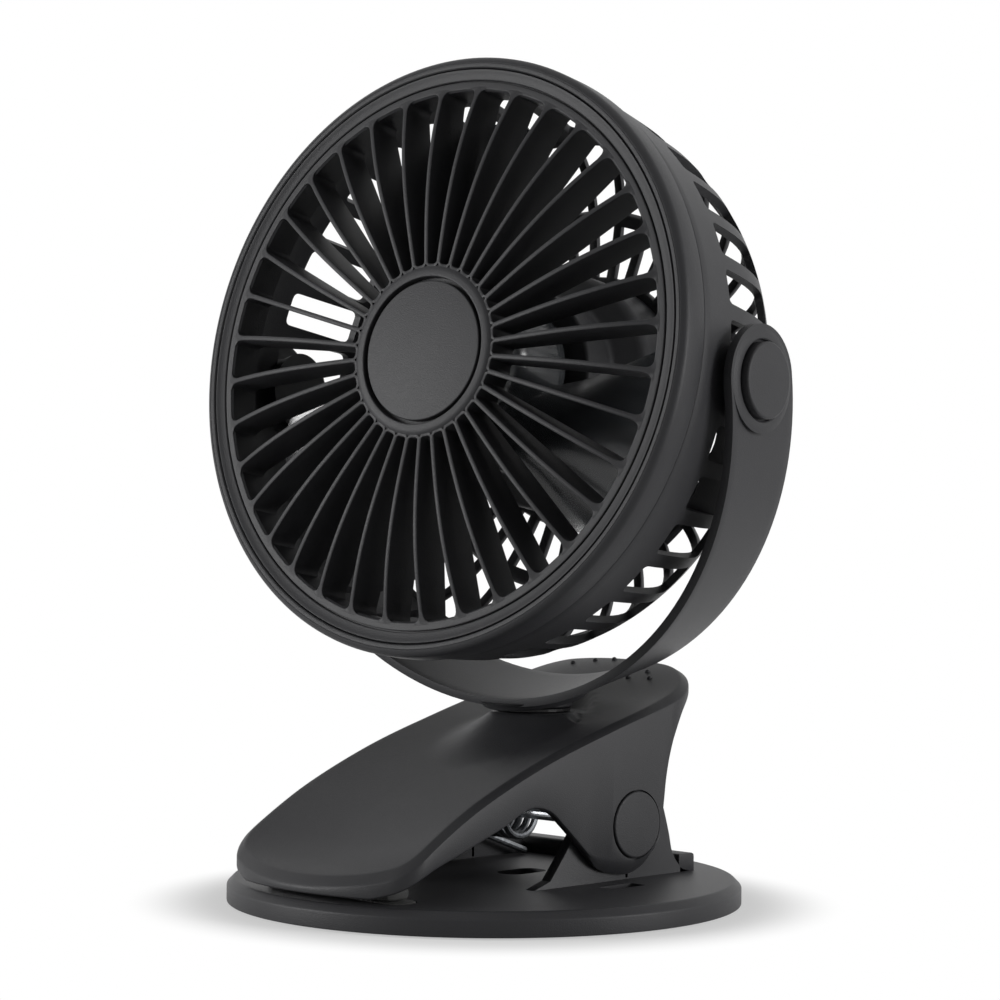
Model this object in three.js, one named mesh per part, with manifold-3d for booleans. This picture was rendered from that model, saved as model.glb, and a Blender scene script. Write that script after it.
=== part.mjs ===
// A rechargeable clip-on fan: a round foot with a spring jaw, a swivelling and
// tilting yoke, and a drum-shaped head with a radial front grille.
// Millimetres, +Z up, the fan faces -Y, origin at the centre of the foot's underside.
import * as THREE from 'three';
import { mergeVertices } from 'three/addons/utils/BufferGeometryUtils.js';
import Module from 'manifold-3d';

const wasm = await Module();
wasm.setup();

// ---------------------------------------------------------------- driving dimensions
const CLEARANCE = 0.3;            // gap between touching pieces
const RUNNING_FIT = 0.08;         // radial play of a pin in its bore
const WALL = 2;                   // moulded wall of the drum and the rear cage

// foot of the clip
const FOOT_RADIUS = 60.6;
const FOOT_THICKNESS = 6;
const FOOT_BEVEL = 2.3;
const FOOT_RECESS_DEPTH = 2.6;
const FOOT_RIM_WIDTH = 4.5;
const MAT_THICKNESS = 1.6;
const MAT_PROUD = 0.4;            // how far the rubber mat stands below the shell

// clip hinge
const HINGE_Y = 20;
const HINGE_Z = 19;
const PIN_RADIUS = 1.6;
const EAR_THICKNESS = 3;
const EAR_TOP_RADIUS = 13.5;
const REAR_STOP_HEIGHT = 4;
const REAR_STOP_DEPTH = 5;
const HINGE_CAP_RADIUS = 7.8;
const HINGE_CAP_THICKNESS = 1.6;

// jaw lever
const LEVER_HALF_WIDTH = 30.3;
const LEVER_WALL = 2.3;
const EAR_GAP = 0.8;              // between its skirt and the foot's hinge cheeks
const EAR_OUTER_X = LEVER_HALF_WIDTH - LEVER_WALL - EAR_GAP;
const LEVER_SETBACK = 0.7;        // its nose follows the foot's edge this far in
const LEVER_TIP_RADIUS = FOOT_RADIUS - LEVER_SETBACK;
const LEVER_NOSE_CORNER = 8;
const LEVER_REAR_Y = 48;
const LEVER_REAR_CORNER = 16;
const LEVER_EAR_RADIUS = 11.5;
const LEVER_DISH = 3;             // depth of the hollow in its top
const LEVER_CROWN = 3;            // rise of its thumb end
const JAW_PAD_THICKNESS = 2.2;
const JAW_PAD_LENGTH = 46;
const JAW_PAD_WIDTH = 8;
const JAW_PAD_Y = 14.6 - FOOT_RADIUS;

// clip spring
const SPRING_WIRE = 1.7;
const SPRING_COIL_RADIUS = 6.2;
const SPRING_TURNS = 5;
const SPRING_PITCH = 2.6;
const SPRING_INSET = 10.2;        // middle of its coil, from the left cheek
const SPRING_X = EAR_THICKNESS - EAR_OUTER_X + SPRING_INSET;
const SPRING_FOOT_LEG = 18;
const SPRING_LEVER_LEG = 16.6;

// swivel under the yoke
const SWIVEL_Y = 16.3;
const SWIVEL_Z = 45.2;
const SWIVEL_TURN = 7.2;          // degrees, head turned from straight ahead
const SWIVEL_FOOT_RADIUS = 13;    // flange under the band, square to the arms
const SWIVEL_FLANGE = 1.1;
const SWIVEL_NECK_RADIUS = 9.2;   // upright, below the flange
const SWIVEL_POST_RADIUS = 5;
const SWIVEL_WASHER = 0.6;
const PLATE_RADIUS = 8.5;
const PLATE_DEPTH = 7.8;          // below the swivel seat
const PLATE_THICKNESS = 1.3;
const SWIVEL_SCREW_RADIUS = 1.5;
const SCREW_END = 1.2;            // tip of the swivel screw above the swivel seat

// radii of the head's front, from the vanes outwards
const VANE_OUTER_RADIUS = 62.2;
const GRILLE_RING_WIDTH = 4.8;
const GRILLE_SEAT_RADIUS = VANE_OUTER_RADIUS + GRILLE_RING_WIDTH;
const RIM_WIDTH = 3;
const RIM_RADIUS = GRILLE_SEAT_RADIUS + RIM_WIDTH;

// yoke
const YOKE_SIDE_GAP = 1.2;
const YOKE_HALF_WIDTH = RIM_RADIUS + YOKE_SIDE_GAP;
const YOKE_LEAN = 11.1;           // degrees the arms lean forward
const YOKE_STAND = 2.8;           // underside of the U above the swivel seat
const YOKE_DEPTH = RIM_RADIUS + 2.8;   // inside, tilt axis to the bottom of the U
const YOKE_OVAL = YOKE_DEPTH + 2.3;    // height of the half oval that the inside follows
const YOKE_THICKNESS = 2;
const YOKE_WIDTH = 25;
const YOKE_END_RISE = 12.6;       // arm end above the tilt axis
const TILT_CAP_RADIUS = 8.6;
const TILT_CAP_PROUD = 1.9;
const TILT_BOLT_RADIUS = 2.4;
const TILT_BOSS_RADIUS = 8.2;
const TILT_WASHER = 0.5;

// head: distances along the fan's axis are depths behind the rim's widest circle
const HEAD_TILT = 19.9;           // degrees up from square to the yoke
const PIVOT_DEPTH = 25.3;
const PIVOT_DROP = 2.7;           // tilt axis below the fan's axis
const RIM_PROUD = 1.6;            // rim in front of its widest circle
const RIM_SIDE = 6.2;             // straight side of the rim
const RIM_STEP = 0.6;
const DRUM_TAPER = 0.088;         // radius lost for each millimetre of depth
const DRUM_SHOULDER = 17.2;       // where the drum begins to round over
const DRUM_ROUND = 42.7;          // depth of the rounding
const DRUM_ROUND_POWER = 3.64;
const SEAM_DEPTH = 42.3;          // joint of the drum and the rear cage
const SLOT_COUNT = 36;
const SLOT_ANGLE = 7;             // degrees
const SLOT_FRONT = 19;
const SLOT_REAR = 40.5;
const BLIND_SLOTS = 2;            // recesses that don't go through, below each tilt boss

// front grille
const VANE_COUNT = 36;
const VANE_THICKNESS = 1.2;
const VANE_DEPTH = 9;
const GRILLE_DEPTH = 7.4;
const VANE_DOME = 3.6;            // hub in front of the vanes' outer ends
const VANE_SWELL = 0.9;           // fullness of the dome half way out
const HUB_RADIUS = 19.8;
const HUB_CAP_RADIUS = 16.3;
const HUB_CAP_THICKNESS = 1.4;
const HUB_GROOVE = 0.9;
const HUB_DEPTH = 8;

// impeller and motor
const BLADE_COUNT = 3;
const BLADE_PHASE = -34;          // degrees
const BLADE_RADIUS = VANE_OUTER_RADIUS - 4.7;
const BLADE_ROOT_RADIUS = 15.5;
const BLADE_SWEEP = 58;           // degrees each blade covers
const BLADE_FRONT = 9;            // depth of its leading side
const BLADE_REAR = 25;
const BLADE_THICKNESS = 1.4;
const SPINNER_RADIUS = 17.5;
const SPINNER_FRONT = 7;
const SPINNER_REAR = 27;
const MOTOR_RADIUS = 12;
const MOTOR_LENGTH = 14;
const SHAFT_RADIUS = 1;

// rear housing for the motor, the board and the battery
const POD_RADIUS = 29;
const POD_FRONT = 30;
const POD_NECK_RADIUS = 22;
const POD_NECK_END = 40;
const POD_WALL = 1.8;
const SEAM_RING_WIDTH = 1.6;
const CAGE_RING_RADIUS = 46;
const CAGE_RING_WIDTH = 3;
const CAGE_RIB_COUNT = 18;
const CAGE_RIB_WIDTH = 2.6;
const BOARD_RADIUS = 18.8;
const BOARD_THICKNESS = 1.2;
const BATTERY_LENGTH = 32;
const BATTERY_WIDTH = 28;
const BATTERY_THICKNESS = 6.8;
const COVER_THICKNESS = 2;
const COVER_SCREW_ORBIT = 23.4;
const COVER_POST_RADIUS = 4;
const BUTTON_RADIUS = 6.5;
const BUTTON_TRAVEL = 0.7;
const BUTTON_PROUD = 1.2;
const INLET_WIDTH = 9;
const INLET_HEIGHT = 3.4;
const INLET_OFFSET = 15.6;
const LAMP_COUNT = 3;
const LAMP_RADIUS = 0.9;
const LAMP_ORBIT = 13;

// depths that follow from the stack of pieces behind the impeller
const MOTOR_FRONT = POD_FRONT + POD_WALL + CLEARANCE;
const BATTERY_FRONT = MOTOR_FRONT + MOTOR_LENGTH + CLEARANCE;
const BOARD_FRONT = BATTERY_FRONT + BATTERY_THICKNESS + CLEARANCE;
const BOARD_BACK = BOARD_FRONT + BOARD_THICKNESS;

const deg = Math.PI / 180;
const coverFront = BOARD_BACK + BUTTON_TRAVEL + 1.6;
const coverBack = coverFront + COVER_THICKNESS;
const coverScrewAngles = [30, 150, 270].map((angle) => angle * deg);
const motorScrewPositions = [-8.5, 8.5];
const lampAngles = Array.from({ length: LAMP_COUNT }, (_, i) => (90 + (1 - i) * 20) * deg);

// ---------------------------------------------------------------- solids and geometry
function toSolid(geometry) {
  const bare = geometry.clone();
  bare.deleteAttribute('normal');
  bare.deleteAttribute('uv');
  const merged = mergeVertices(bare, 1e-4);
  const at = merged.attributes.position;
  const index = Array.from(merged.index.array);
  // profiles may be drawn either way round: turn a shape that came out inside out
  let volume = 0;
  const [a, b, c] = [new THREE.Vector3(), new THREE.Vector3(), new THREE.Vector3()];
  for (let i = 0; i < index.length; i += 3) {
    a.fromBufferAttribute(at, index[i]);
    b.fromBufferAttribute(at, index[i + 1]);
    c.fromBufferAttribute(at, index[i + 2]);
    volume += a.dot(b.cross(c));
  }
  if (volume < 0) index.reverse();
  const kept = [];
  for (let i = 0; i < index.length; i += 3) {
    const [p, q, r] = index.slice(i, i + 3);
    if (p !== q && q !== r && r !== p) kept.push(p, q, r);
  }
  const vertProperties = new Float32Array(at.array);
  return new wasm.Manifold(new wasm.Mesh({ numProp: 3, vertProperties, triVerts: new Uint32Array(kept) }));
}

function toGeometry(solid) {
  const mesh = solid.getMesh();
  const geometry = new THREE.BufferGeometry();
  const positions = new Float32Array(mesh.vertProperties);
  geometry.setAttribute('position', new THREE.BufferAttribute(positions, 3));
  geometry.setIndex(new THREE.BufferAttribute(new Uint32Array(mesh.triVerts), 1));
  const flat = geometry.toNonIndexed();
  flat.computeVertexNormals();
  return flat;
}

function cut(body, ...tools) {
  return tools.reduce((rest, tool) => rest.subtract(tool), body);
}

function join(...bodies) {
  return bodies.reduce((sum, body) => sum.add(body));
}

// a solid of revolution about Z from a closed [radius, z] profile
function turned(profile, segments = 48) {
  const points = profile.map(([r, z]) => new THREE.Vector2(Math.max(r, 0), z));
  const first = points[0];
  const last = points[points.length - 1];
  if (first.x > 0 || last.x > 0) points.push(first.clone());
  return toSolid(new THREE.LatheGeometry(points, segments).rotateX(Math.PI / 2));
}

function rod(radius, z0, z1, segments = 32) {
  return turned([[0, z0], [radius, z0], [radius, z1], [0, z1]], segments);
}

function place(solid, { x = 0, y = 0, z = 0, rx = 0, ry = 0, rz = 0 }) {
  const turn = new THREE.Euler(rx * deg, ry * deg, rz * deg, 'XYZ');
  const matrix = new THREE.Matrix4().makeRotationFromEuler(turn).setPosition(x, y, z);
  return solid.transform(matrix.elements.slice());
}

// rods and shapes that lie along X, drawn as [y, z]
function rodAlongX(radius, x0, x1, y, z, segments = 32) {
  return place(rod(radius, x0, x1, segments), { ry: 90, y, z });
}

function block(x0, x1, y0, y1, z0, z1) {
  const box = new THREE.BoxGeometry(x1 - x0, y1 - y0, z1 - z0);
  return toSolid(box.translate((x0 + x1) / 2, (y0 + y1) / 2, (z0 + z1) / 2));
}

function prism(shape, z0, z1, curveSegments = 8) {
  const options = { depth: z1 - z0, bevelEnabled: false, curveSegments };
  return toSolid(new THREE.ExtrudeGeometry(shape, options).translate(0, 0, z0));
}

// a [y, z] outline run along X
function sideways(shape, x0, x1, curveSegments = 8) {
  const options = { depth: x1 - x0, bevelEnabled: false, curveSegments };
  const geometry = new THREE.ExtrudeGeometry(shape, options).translate(0, 0, x0);
  const axes = new THREE.Matrix4().makeBasis(
    new THREE.Vector3(0, 1, 0), new THREE.Vector3(0, 0, 1), new THREE.Vector3(1, 0, 0));
  return toSolid(geometry.applyMatrix4(axes));
}

function splineShape(points) {
  const shape = new THREE.Shape();
  shape.moveTo(...points[0]);
  for (const point of points.slice(1)) {
    if (Array.isArray(point[0])) shape.splineThru(point.map(([u, v]) => new THREE.Vector2(u, v)));
    else shape.lineTo(...point);
  }
  return shape;
}

function roundedRectangle(width, height, corner) {
  const [w, h] = [width / 2, height / 2];
  const shape = new THREE.Shape();
  shape.absarc(w - corner, h - corner, corner, 0, Math.PI / 2);
  shape.absarc(corner - w, h - corner, corner, Math.PI / 2, Math.PI);
  shape.absarc(corner - w, corner - h, corner, Math.PI, Math.PI * 1.5);
  shape.absarc(w - corner, corner - h, corner, Math.PI * 1.5, Math.PI * 2);
  return shape;
}

function finish(colour, roughness, metalness = 0) {
  return new THREE.MeshStandardMaterial({ color: colour, roughness, metalness });
}

const charcoal = finish(0x3a3a3c, 0.55);
const rubber = finish(0x151515, 0.9);
const steel = finish(0xb9bbbe, 0.3, 1);
const brass = finish(0xc2a25a, 0.35, 1);
const smoke = finish(0x5c5e60, 0.2);
const acetal = finish(0x1c1c1d, 0.5);
const boardGreen = finish(0x1f5b38, 0.6);
const foil = finish(0x8d9299, 0.4, 0.4);
const lampClear = finish(0xdfe6ec, 0.15);

function piece(name, solid, material) {
  const mesh = new THREE.Mesh(toGeometry(solid), material);
  mesh.name = name;
  return mesh;
}

// ---------------------------------------------------------------- foot of the clip
const footTop = FOOT_THICKNESS;
const recessRadius = FOOT_RADIUS - FOOT_RIM_WIDTH;
const earInnerX = EAR_OUTER_X - EAR_THICKNESS;
const rearStopY = 40.5;

function footEarOutline() {
  const [y, z, r] = [HINGE_Y, HINGE_Z, EAR_TOP_RADIUS];
  const bottom = FOOT_RECESS_DEPTH + MAT_PROUD + 0.8;
  return splineShape([
    [y - 31.2, bottom],
    [y - 31.2, footTop],
    [[y - 25.7, z - 11.3], [y - 21.2, z - 5.9], [y - 16.7, z - 0.1], [y - 11.6, z + 6.3],
      [y, z + r], [y + 9.8, z + 9], [y + 12.6, z + 4], [y + 15, z - 3],
      [y + 16.4, z - 8], [y + 19.4, z - 11.6], [y + 24.5, footTop]],
    [y + 24.5, bottom],
  ]);
}

function foot() {
  const disc = turned([
    [0, MAT_PROUD], [FOOT_RADIUS, MAT_PROUD], [FOOT_RADIUS, footTop - FOOT_BEVEL],
    [FOOT_RADIUS - FOOT_BEVEL, footTop], [0, footTop],
  ], 60);
  const outline = footEarOutline();
  const ears = [-1, 1].map((side) => {
    const [a, b] = [side * earInnerX, side * EAR_OUTER_X];
    return sideways(outline, Math.min(a, b), Math.max(a, b), 2);
  });
  const stopTop = footTop + REAR_STOP_HEIGHT;
  const stop = block(-earInnerX - 0.5, earInnerX + 0.5, rearStopY, rearStopY + REAR_STOP_DEPTH,
    footTop - 1, stopTop);
  const recess = rod(recessRadius, -1, MAT_PROUD + FOOT_RECESS_DEPTH, 36);
  const bore = rodAlongX(PIN_RADIUS + RUNNING_FIT, -EAR_OUTER_X - 1, EAR_OUTER_X + 1, HINGE_Y, HINGE_Z, 20);
  const slits = [-1, 1].map((side) => block(side * 25.7 - 2.5, side * 25.7 + 2.5,
    HINGE_Y - 0.4, HINGE_Y + 0.4, footTop + 0.2, HINGE_Z));
  const padSeat = prism(roundedRectangle(JAW_PAD_LENGTH + 0.6, JAW_PAD_WIDTH + 0.6, JAW_PAD_WIDTH / 2),
    footTop - 1.2, footTop + 1, 4);
  return cut(join(disc, ...ears, stop), recess, bore, ...slits, place(padSeat, { y: JAW_PAD_Y }));
}

function footMat() {
  const top = MAT_THICKNESS;
  const r = recessRadius - CLEARANCE;
  return turned([[0, 0], [r - 0.6, 0], [r, 0.6], [r, top], [0, top]], 36);
}

function footWeight() {
  const [z0, z1] = [MAT_THICKNESS + 0.3, MAT_PROUD + FOOT_RECESS_DEPTH - 0.3];
  return rod(recessRadius - 2, z0, z1, 36);
}

function footJawPad() {
  const shape = roundedRectangle(JAW_PAD_LENGTH, JAW_PAD_WIDTH, JAW_PAD_WIDTH / 2 - 0.4);
  return place(prism(shape, footTop - 0.9, footTop + 0.2, 4), { y: JAW_PAD_Y });
}

// ---------------------------------------------------------------- jaw lever
// height of the lever's side rim along its length
const tip = -LEVER_TIP_RADIUS;
const rear = LEVER_REAR_Y;
const rimCurve = new THREE.SplineCurve([
  [1.035 * tip, 9.6], [0.9 * tip, 13.8], [0.735 * tip, 20.6], [0.5 * tip, 28.2], [0.167 * tip, 36.2],
  [0.25 * rear, 42.8], [0.667 * rear, 48.2], [1.083 * rear, 54.6],
].map(([y, z]) => new THREE.Vector2(y, z)));
const rimSamples = rimCurve.getPoints(60);

function rimHeight(y) {
  const i = rimSamples.findIndex((p) => p.x > y);
  if (i < 1) return rimSamples[i === 0 ? 0 : rimSamples.length - 1].y;
  const [p, q] = [rimSamples[i - 1], rimSamples[i]];
  return p.y + (q.y - p.y) * (y - p.x) / (q.x - p.x);
}

function leverTop(x, y) {
  const across = 1 - Math.min(1, (x / LEVER_HALF_WIDTH) ** 2);
  const toRear = THREE.MathUtils.smoothstep(y, 18, LEVER_REAR_Y - 4);
  const toNose = THREE.MathUtils.smoothstep(y, -LEVER_TIP_RADIUS, -LEVER_TIP_RADIUS + 16);
  const dish = -LEVER_DISH * toNose * (1 - toRear) + LEVER_CROWN * toRear;
  return rimHeight(y) + dish * across;
}

// everything below the lever's top surface, dropped by a given amount
function underTop(drop) {
  const [nx, ny] = [8, 16];
  const [w, y0, y1] = [LEVER_HALF_WIDTH + 2, -LEVER_TIP_RADIUS - 2, LEVER_REAR_Y + 2];
  const floor = -5;
  const positions = [];
  const index = [];
  for (let level = 0; level < 2; level += 1) {
    for (let j = 0; j <= ny; j += 1) {
      for (let i = 0; i <= nx; i += 1) {
        const x = -w + 2 * w * i / nx;
        const y = y0 + (y1 - y0) * j / ny;
        positions.push(x, y, level === 0 ? floor : leverTop(x, y) - drop);
      }
    }
  }
  const at = (level, i, j) => level * (nx + 1) * (ny + 1) + j * (nx + 1) + i;
  const quad = (a, b, c, d) => index.push(a, b, c, a, c, d);
  for (let j = 0; j < ny; j += 1) {
    for (let i = 0; i < nx; i += 1) {
      quad(at(1, i, j), at(1, i + 1, j), at(1, i + 1, j + 1), at(1, i, j + 1));
      quad(at(0, i, j), at(0, i, j + 1), at(0, i + 1, j + 1), at(0, i + 1, j));
    }
  }
  for (let i = 0; i < nx; i += 1) {
    quad(at(0, i, 0), at(0, i + 1, 0), at(1, i + 1, 0), at(1, i, 0));
    quad(at(0, i + 1, ny), at(0, i, ny), at(1, i, ny), at(1, i + 1, ny));
  }
  for (let j = 0; j < ny; j += 1) {
    quad(at(0, 0, j + 1), at(0, 0, j), at(1, 0, j), at(1, 0, j + 1));
    quad(at(0, nx, j), at(0, nx, j + 1), at(1, nx, j + 1), at(1, nx, j));
  }
  const geometry = new THREE.BufferGeometry();
  geometry.setAttribute('position', new THREE.Float32BufferAttribute(positions, 3));
  geometry.setIndex(index);
  return toSolid(geometry);
}

// plan outline of the lever, moved in by a wall
function leverPlan(inset) {
  const w = LEVER_HALF_WIDTH - inset;
  const noseRadius = LEVER_TIP_RADIUS - inset;
  const corner = LEVER_NOSE_CORNER - inset;
  const rearEdge = rear - inset;
  const rearCorner = LEVER_REAR_CORNER - inset;
  const cx = w - corner;
  const cy = -Math.sqrt((noseRadius - corner) ** 2 - cx ** 2);
  const nose = Math.atan2(cy, cx);
  const shape = new THREE.Shape();
  shape.absarc(0, 0, noseRadius, -Math.PI - nose, nose);
  shape.absarc(cx, cy, corner, nose, 0);
  shape.absarc(w - rearCorner, rearEdge - rearCorner, rearCorner, 0, Math.PI / 2);
  shape.absarc(rearCorner - w, rearEdge - rearCorner, rearCorner, Math.PI / 2, Math.PI);
  shape.absarc(-cx, cy, corner, Math.PI, Math.PI * 2 - Math.PI - nose);
  return shape;
}

// side outline of the lever's skirt and hinge ears, as [y, z], open well above its top
function leverSide() {
  const [y, z, r] = [HINGE_Y, HINGE_Z, LEVER_EAR_RADIUS];
  const ceiling = 70;
  return splineShape([
    [1.06 * tip, ceiling],
    [1.06 * tip, 6.6],
    [[0.935 * tip, 7.6], [0.785 * tip, 13], [0.6 * tip, 17], [0.4 * tip, 21.4], [0.262 * tip, 24.9],
      [y - 29.2, z + 5], [y - 24.2, z + 1.2], [y - 18.4, z - 3.9], [y - 12.2, z - 9.2],
      [y - 6.4, z - r + 0.5], [y - 0.4, z - r], [y + 5.4, z - r + 2.5], [y + 8.3, z - 4.5],
      [y + 9.5, z + 3.9], [y + 10.3, z + 9.8], [y + 11.7, z + 15.6], [y + 13.5, z + 20.2],
      [y + 16.8, z + 25.3], [y + 21, z + 28.4], [rear - 2.5, z + 30], [rear + 1.5, z + 30.8]],
    [rear + 3, ceiling],
  ]);
}

function lever() {
  const outer = underTop(0).intersect(prism(leverPlan(0), -2, 90, 4));
  const inner = underTop(LEVER_WALL).intersect(prism(leverPlan(LEVER_WALL), -3, 90, 2));
  const shell = outer.subtract(inner).intersect(sideways(leverSide(), -40, 40, 2));
  const hinge = { y: HINGE_Y, z: HINGE_Z };
  const seatDepth = 1.1;
  const half = LEVER_HALF_WIDTH;
  const bore = rodAlongX(PIN_RADIUS + RUNNING_FIT, -half - 1, half + 1, hinge.y, hinge.z, 20);
  const capSeats = [-1, 1].map((side) => {
    const [a, b] = [side * (half - seatDepth), side * (half + 2)];
    return rodAlongX(HINGE_CAP_RADIUS + 0.4, Math.min(a, b), Math.max(a, b), hinge.y, hinge.z, 24);
  });
  const seatTop = -SWIVEL_WASHER - 2 * CLEARANCE;
  const neck = SWIVEL_NECK_RADIUS;
  const pedestal = swivelPlaced(turned([
    [SWIVEL_POST_RADIUS + 0.4, -7.5], [neck + 4.6, -7.5], [neck + 1.8, -3.4],
    [neck + 0.6, seatTop], [SWIVEL_POST_RADIUS + 0.4, seatTop],
  ], 24));
  const clearAbove = swivelPlaced(rod(SWIVEL_FOOT_RADIUS + 0.8, seatTop, 20, 24));
  const postHole = swivelPlaced(rod(SWIVEL_POST_RADIUS + 0.4, -30, 20, 16));
  const platePocket = swivelPlaced(rod(PLATE_RADIUS + 0.7, -PLATE_DEPTH - 9, CLEARANCE - PLATE_DEPTH, 24));
  return cut(join(shell, pedestal), clearAbove, postHole, platePocket, bore, ...capSeats);
}

function leverJawPad() {
  const shape = roundedRectangle(JAW_PAD_LENGTH - 4, JAW_PAD_WIDTH, JAW_PAD_WIDTH / 2 - 0.4);
  const pad = place(prism(shape, 0, JAW_PAD_THICKNESS, 4), { y: JAW_PAD_Y - 0.5, z: footTop + 0.6 });
  return pad;
}

// the yoke's foot turns on the XY plane of this frame
function swivelPlaced(solid) {
  return place(solid, { y: SWIVEL_Y, z: SWIVEL_Z });
}

// ---------------------------------------------------------------- clip hinge
function hingePin() {
  const half = LEVER_HALF_WIDTH - 1.4;
  return rodAlongX(PIN_RADIUS, -half, half, HINGE_Y, HINGE_Z, 20);
}

function hingeCap(side) {
  const inner = LEVER_HALF_WIDTH - 1.1 + CLEARANCE;
  const outer = inner + HINGE_CAP_THICKNESS - 0.4;
  const r = HINGE_CAP_RADIUS;
  const cap = turned([[0, inner], [r, inner], [r, outer - 0.5], [r - 0.5, outer], [0, outer]], 24);
  return place(cap, { ry: 90 * side, y: HINGE_Y, z: HINGE_Z });
}

class TorsionSpringPath extends THREE.Curve {
  constructor() {
    super();
    this.length0 = SPRING_FOOT_LEG;
    this.length1 = SPRING_LEVER_LEG;
    this.start = -110 * deg;
    this.sweep = SPRING_TURNS * 2 * Math.PI + 100 * deg;
    this.coil = this.sweep * SPRING_COIL_RADIUS;
    this.total = this.length0 + this.coil + this.length1;
    this.width = SPRING_PITCH * this.sweep / (2 * Math.PI);
  }

  onCoil(angle) {
    const r = SPRING_COIL_RADIUS;
    const x = SPRING_X - this.width / 2 + SPRING_PITCH * angle / (2 * Math.PI);
    const a = this.start - angle;
    return new THREE.Vector3(x, HINGE_Y + r * Math.cos(a), HINGE_Z + r * Math.sin(a));
  }

  heading(angle) {
    const a = this.start - angle;
    return new THREE.Vector3(0, Math.sin(a), -Math.cos(a));
  }

  getPoint(t, target = new THREE.Vector3()) {
    const s = t * this.total;
    if (s < this.length0) {
      return target.copy(this.onCoil(0)).addScaledVector(this.heading(0), s - this.length0);
    }
    if (s <= this.length0 + this.coil) {
      return target.copy(this.onCoil((s - this.length0) / SPRING_COIL_RADIUS));
    }
    const past = s - this.length0 - this.coil;
    return target.copy(this.onCoil(this.sweep)).addScaledVector(this.heading(this.sweep), past);
  }
}

function clipSpring() {
  const path = new TorsionSpringPath();
  const section = new THREE.Shape();
  const sides = 5;
  for (let i = 0; i < sides; i += 1) {
    const a = i / sides * 2 * Math.PI;
    const [u, v] = [SPRING_WIRE / 2 * Math.cos(a), SPRING_WIRE / 2 * Math.sin(a)];
    if (i === 0) section.moveTo(u, v);
    else section.lineTo(u, v);
  }
  const steps = Math.round(path.total / (2 * Math.PI * SPRING_COIL_RADIUS / 8));
  const tube = new THREE.ExtrudeGeometry(section, { steps, extrudePath: path, bevelEnabled: false });
  // least gap between neighbouring curls, measured on points of the wire's centre line
  const points = path.getSpacedPoints(steps * 6);
  let least = Infinity;
  const apart = Math.PI * SPRING_COIL_RADIUS;
  const stepLength = path.total / (steps * 6);
  for (let i = 0; i < points.length; i += 1) {
    for (let j = i + Math.ceil(apart / stepLength); j < points.length; j += 1) {
      least = Math.min(least, points[i].distanceTo(points[j]) - SPRING_WIRE);
    }
  }
  console.log(`clip spring: least gap between curls ${least.toFixed(2)} mm`);
  return toSolid(tube);
}

// ---------------------------------------------------------------- swivel and yoke
// The arms' own frame leans forward with them: Z runs up the middle of the band from its underside.
const pivotHeight = YOKE_THICKNESS + YOKE_DEPTH;
const ovalHeight = YOKE_THICKNESS + YOKE_OVAL;
const yokeOuter = YOKE_HALF_WIDTH + YOKE_THICKNESS;

function yokeSection(grow) {
  const w = YOKE_HALF_WIDTH + grow;
  const shape = new THREE.Shape();
  shape.moveTo(w, ovalHeight + 40);
  shape.lineTo(w, ovalHeight);
  shape.absellipse(0, ovalHeight, w, YOKE_OVAL + grow, 0, -Math.PI, true);
  shape.lineTo(-w, ovalHeight + 40);
  return shape;
}

function yoke() {
  const half = YOKE_WIDTH / 2;
  const upright = (solid) => place(solid, { rx: 90 });
  const outer = upright(prism(yokeSection(YOKE_THICKNESS), -half, half, 13));
  const inner = upright(prism(yokeSection(0), -half - 1, half + 1, 13));
  const end = new THREE.Shape();
  const top = pivotHeight + YOKE_END_RISE;
  end.moveTo(-half, -YOKE_THICKNESS);
  end.lineTo(half, -YOKE_THICKNESS);
  end.lineTo(half, top - half);
  end.absarc(0, top - half, half, 0, Math.PI);
  const band = outer.subtract(inner).intersect(sideways(end, -yokeOuter - 1, yokeOuter + 1, 10));
  const level = (solid) => place(place(solid, { z: -YOKE_STAND }), { rx: -YOKE_LEAN });
  const flange = rod(SWIVEL_FOOT_RADIUS, -SWIVEL_FLANGE, YOKE_THICKNESS - 0.4, 28);
  const neck = level(rod(SWIVEL_NECK_RADIUS, 0, YOKE_STAND + 5, 24))
    .intersect(block(-20, 20, -20, 20, -20, YOKE_THICKNESS - 0.4));
  const foot = join(flange, neck).subtract(inner);
  const post = level(rod(SWIVEL_POST_RADIUS, -7.6, 1, 20));
  const screwHole = level(rod(SWIVEL_SCREW_RADIUS + 0.1, -10, SCREW_END + 0.5, 16));
  const holes = [-1, 1].map((side) => {
    const [a, b] = [side * (YOKE_HALF_WIDTH - 1), side * (yokeOuter + 1)];
    return rodAlongX(TILT_BOLT_RADIUS + 0.3, Math.min(a, b), Math.max(a, b), 0, pivotHeight, 20);
  });
  const seats = [-1, 1].map((side) => {
    const [a, b] = [side * (yokeOuter - 0.8), side * (yokeOuter + 1)];
    return rodAlongX(TILT_CAP_RADIUS + 0.5, Math.min(a, b), Math.max(a, b), 0, pivotHeight, 24);
  });
  const spotFaces = [-1, 1].map((side) => {
    const [a, b] = [side * (YOKE_HALF_WIDTH - 4), side * YOKE_HALF_WIDTH];
    return rodAlongX(TILT_BOSS_RADIUS + 1, Math.min(a, b), Math.max(a, b), 0, pivotHeight, 24);
  });
  return cut(join(band, foot, post), screwHole, ...holes, ...seats, ...spotFaces);
}

function swivelWasher() {
  const [z0, z1] = [-CLEARANCE - SWIVEL_WASHER, -CLEARANCE];
  const [r0, r1] = [SWIVEL_POST_RADIUS + 0.6, SWIVEL_NECK_RADIUS - 0.4];
  return turned([[r0, z0], [r1, z0], [r1, z1], [r0, z1]], 24);
}

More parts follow.
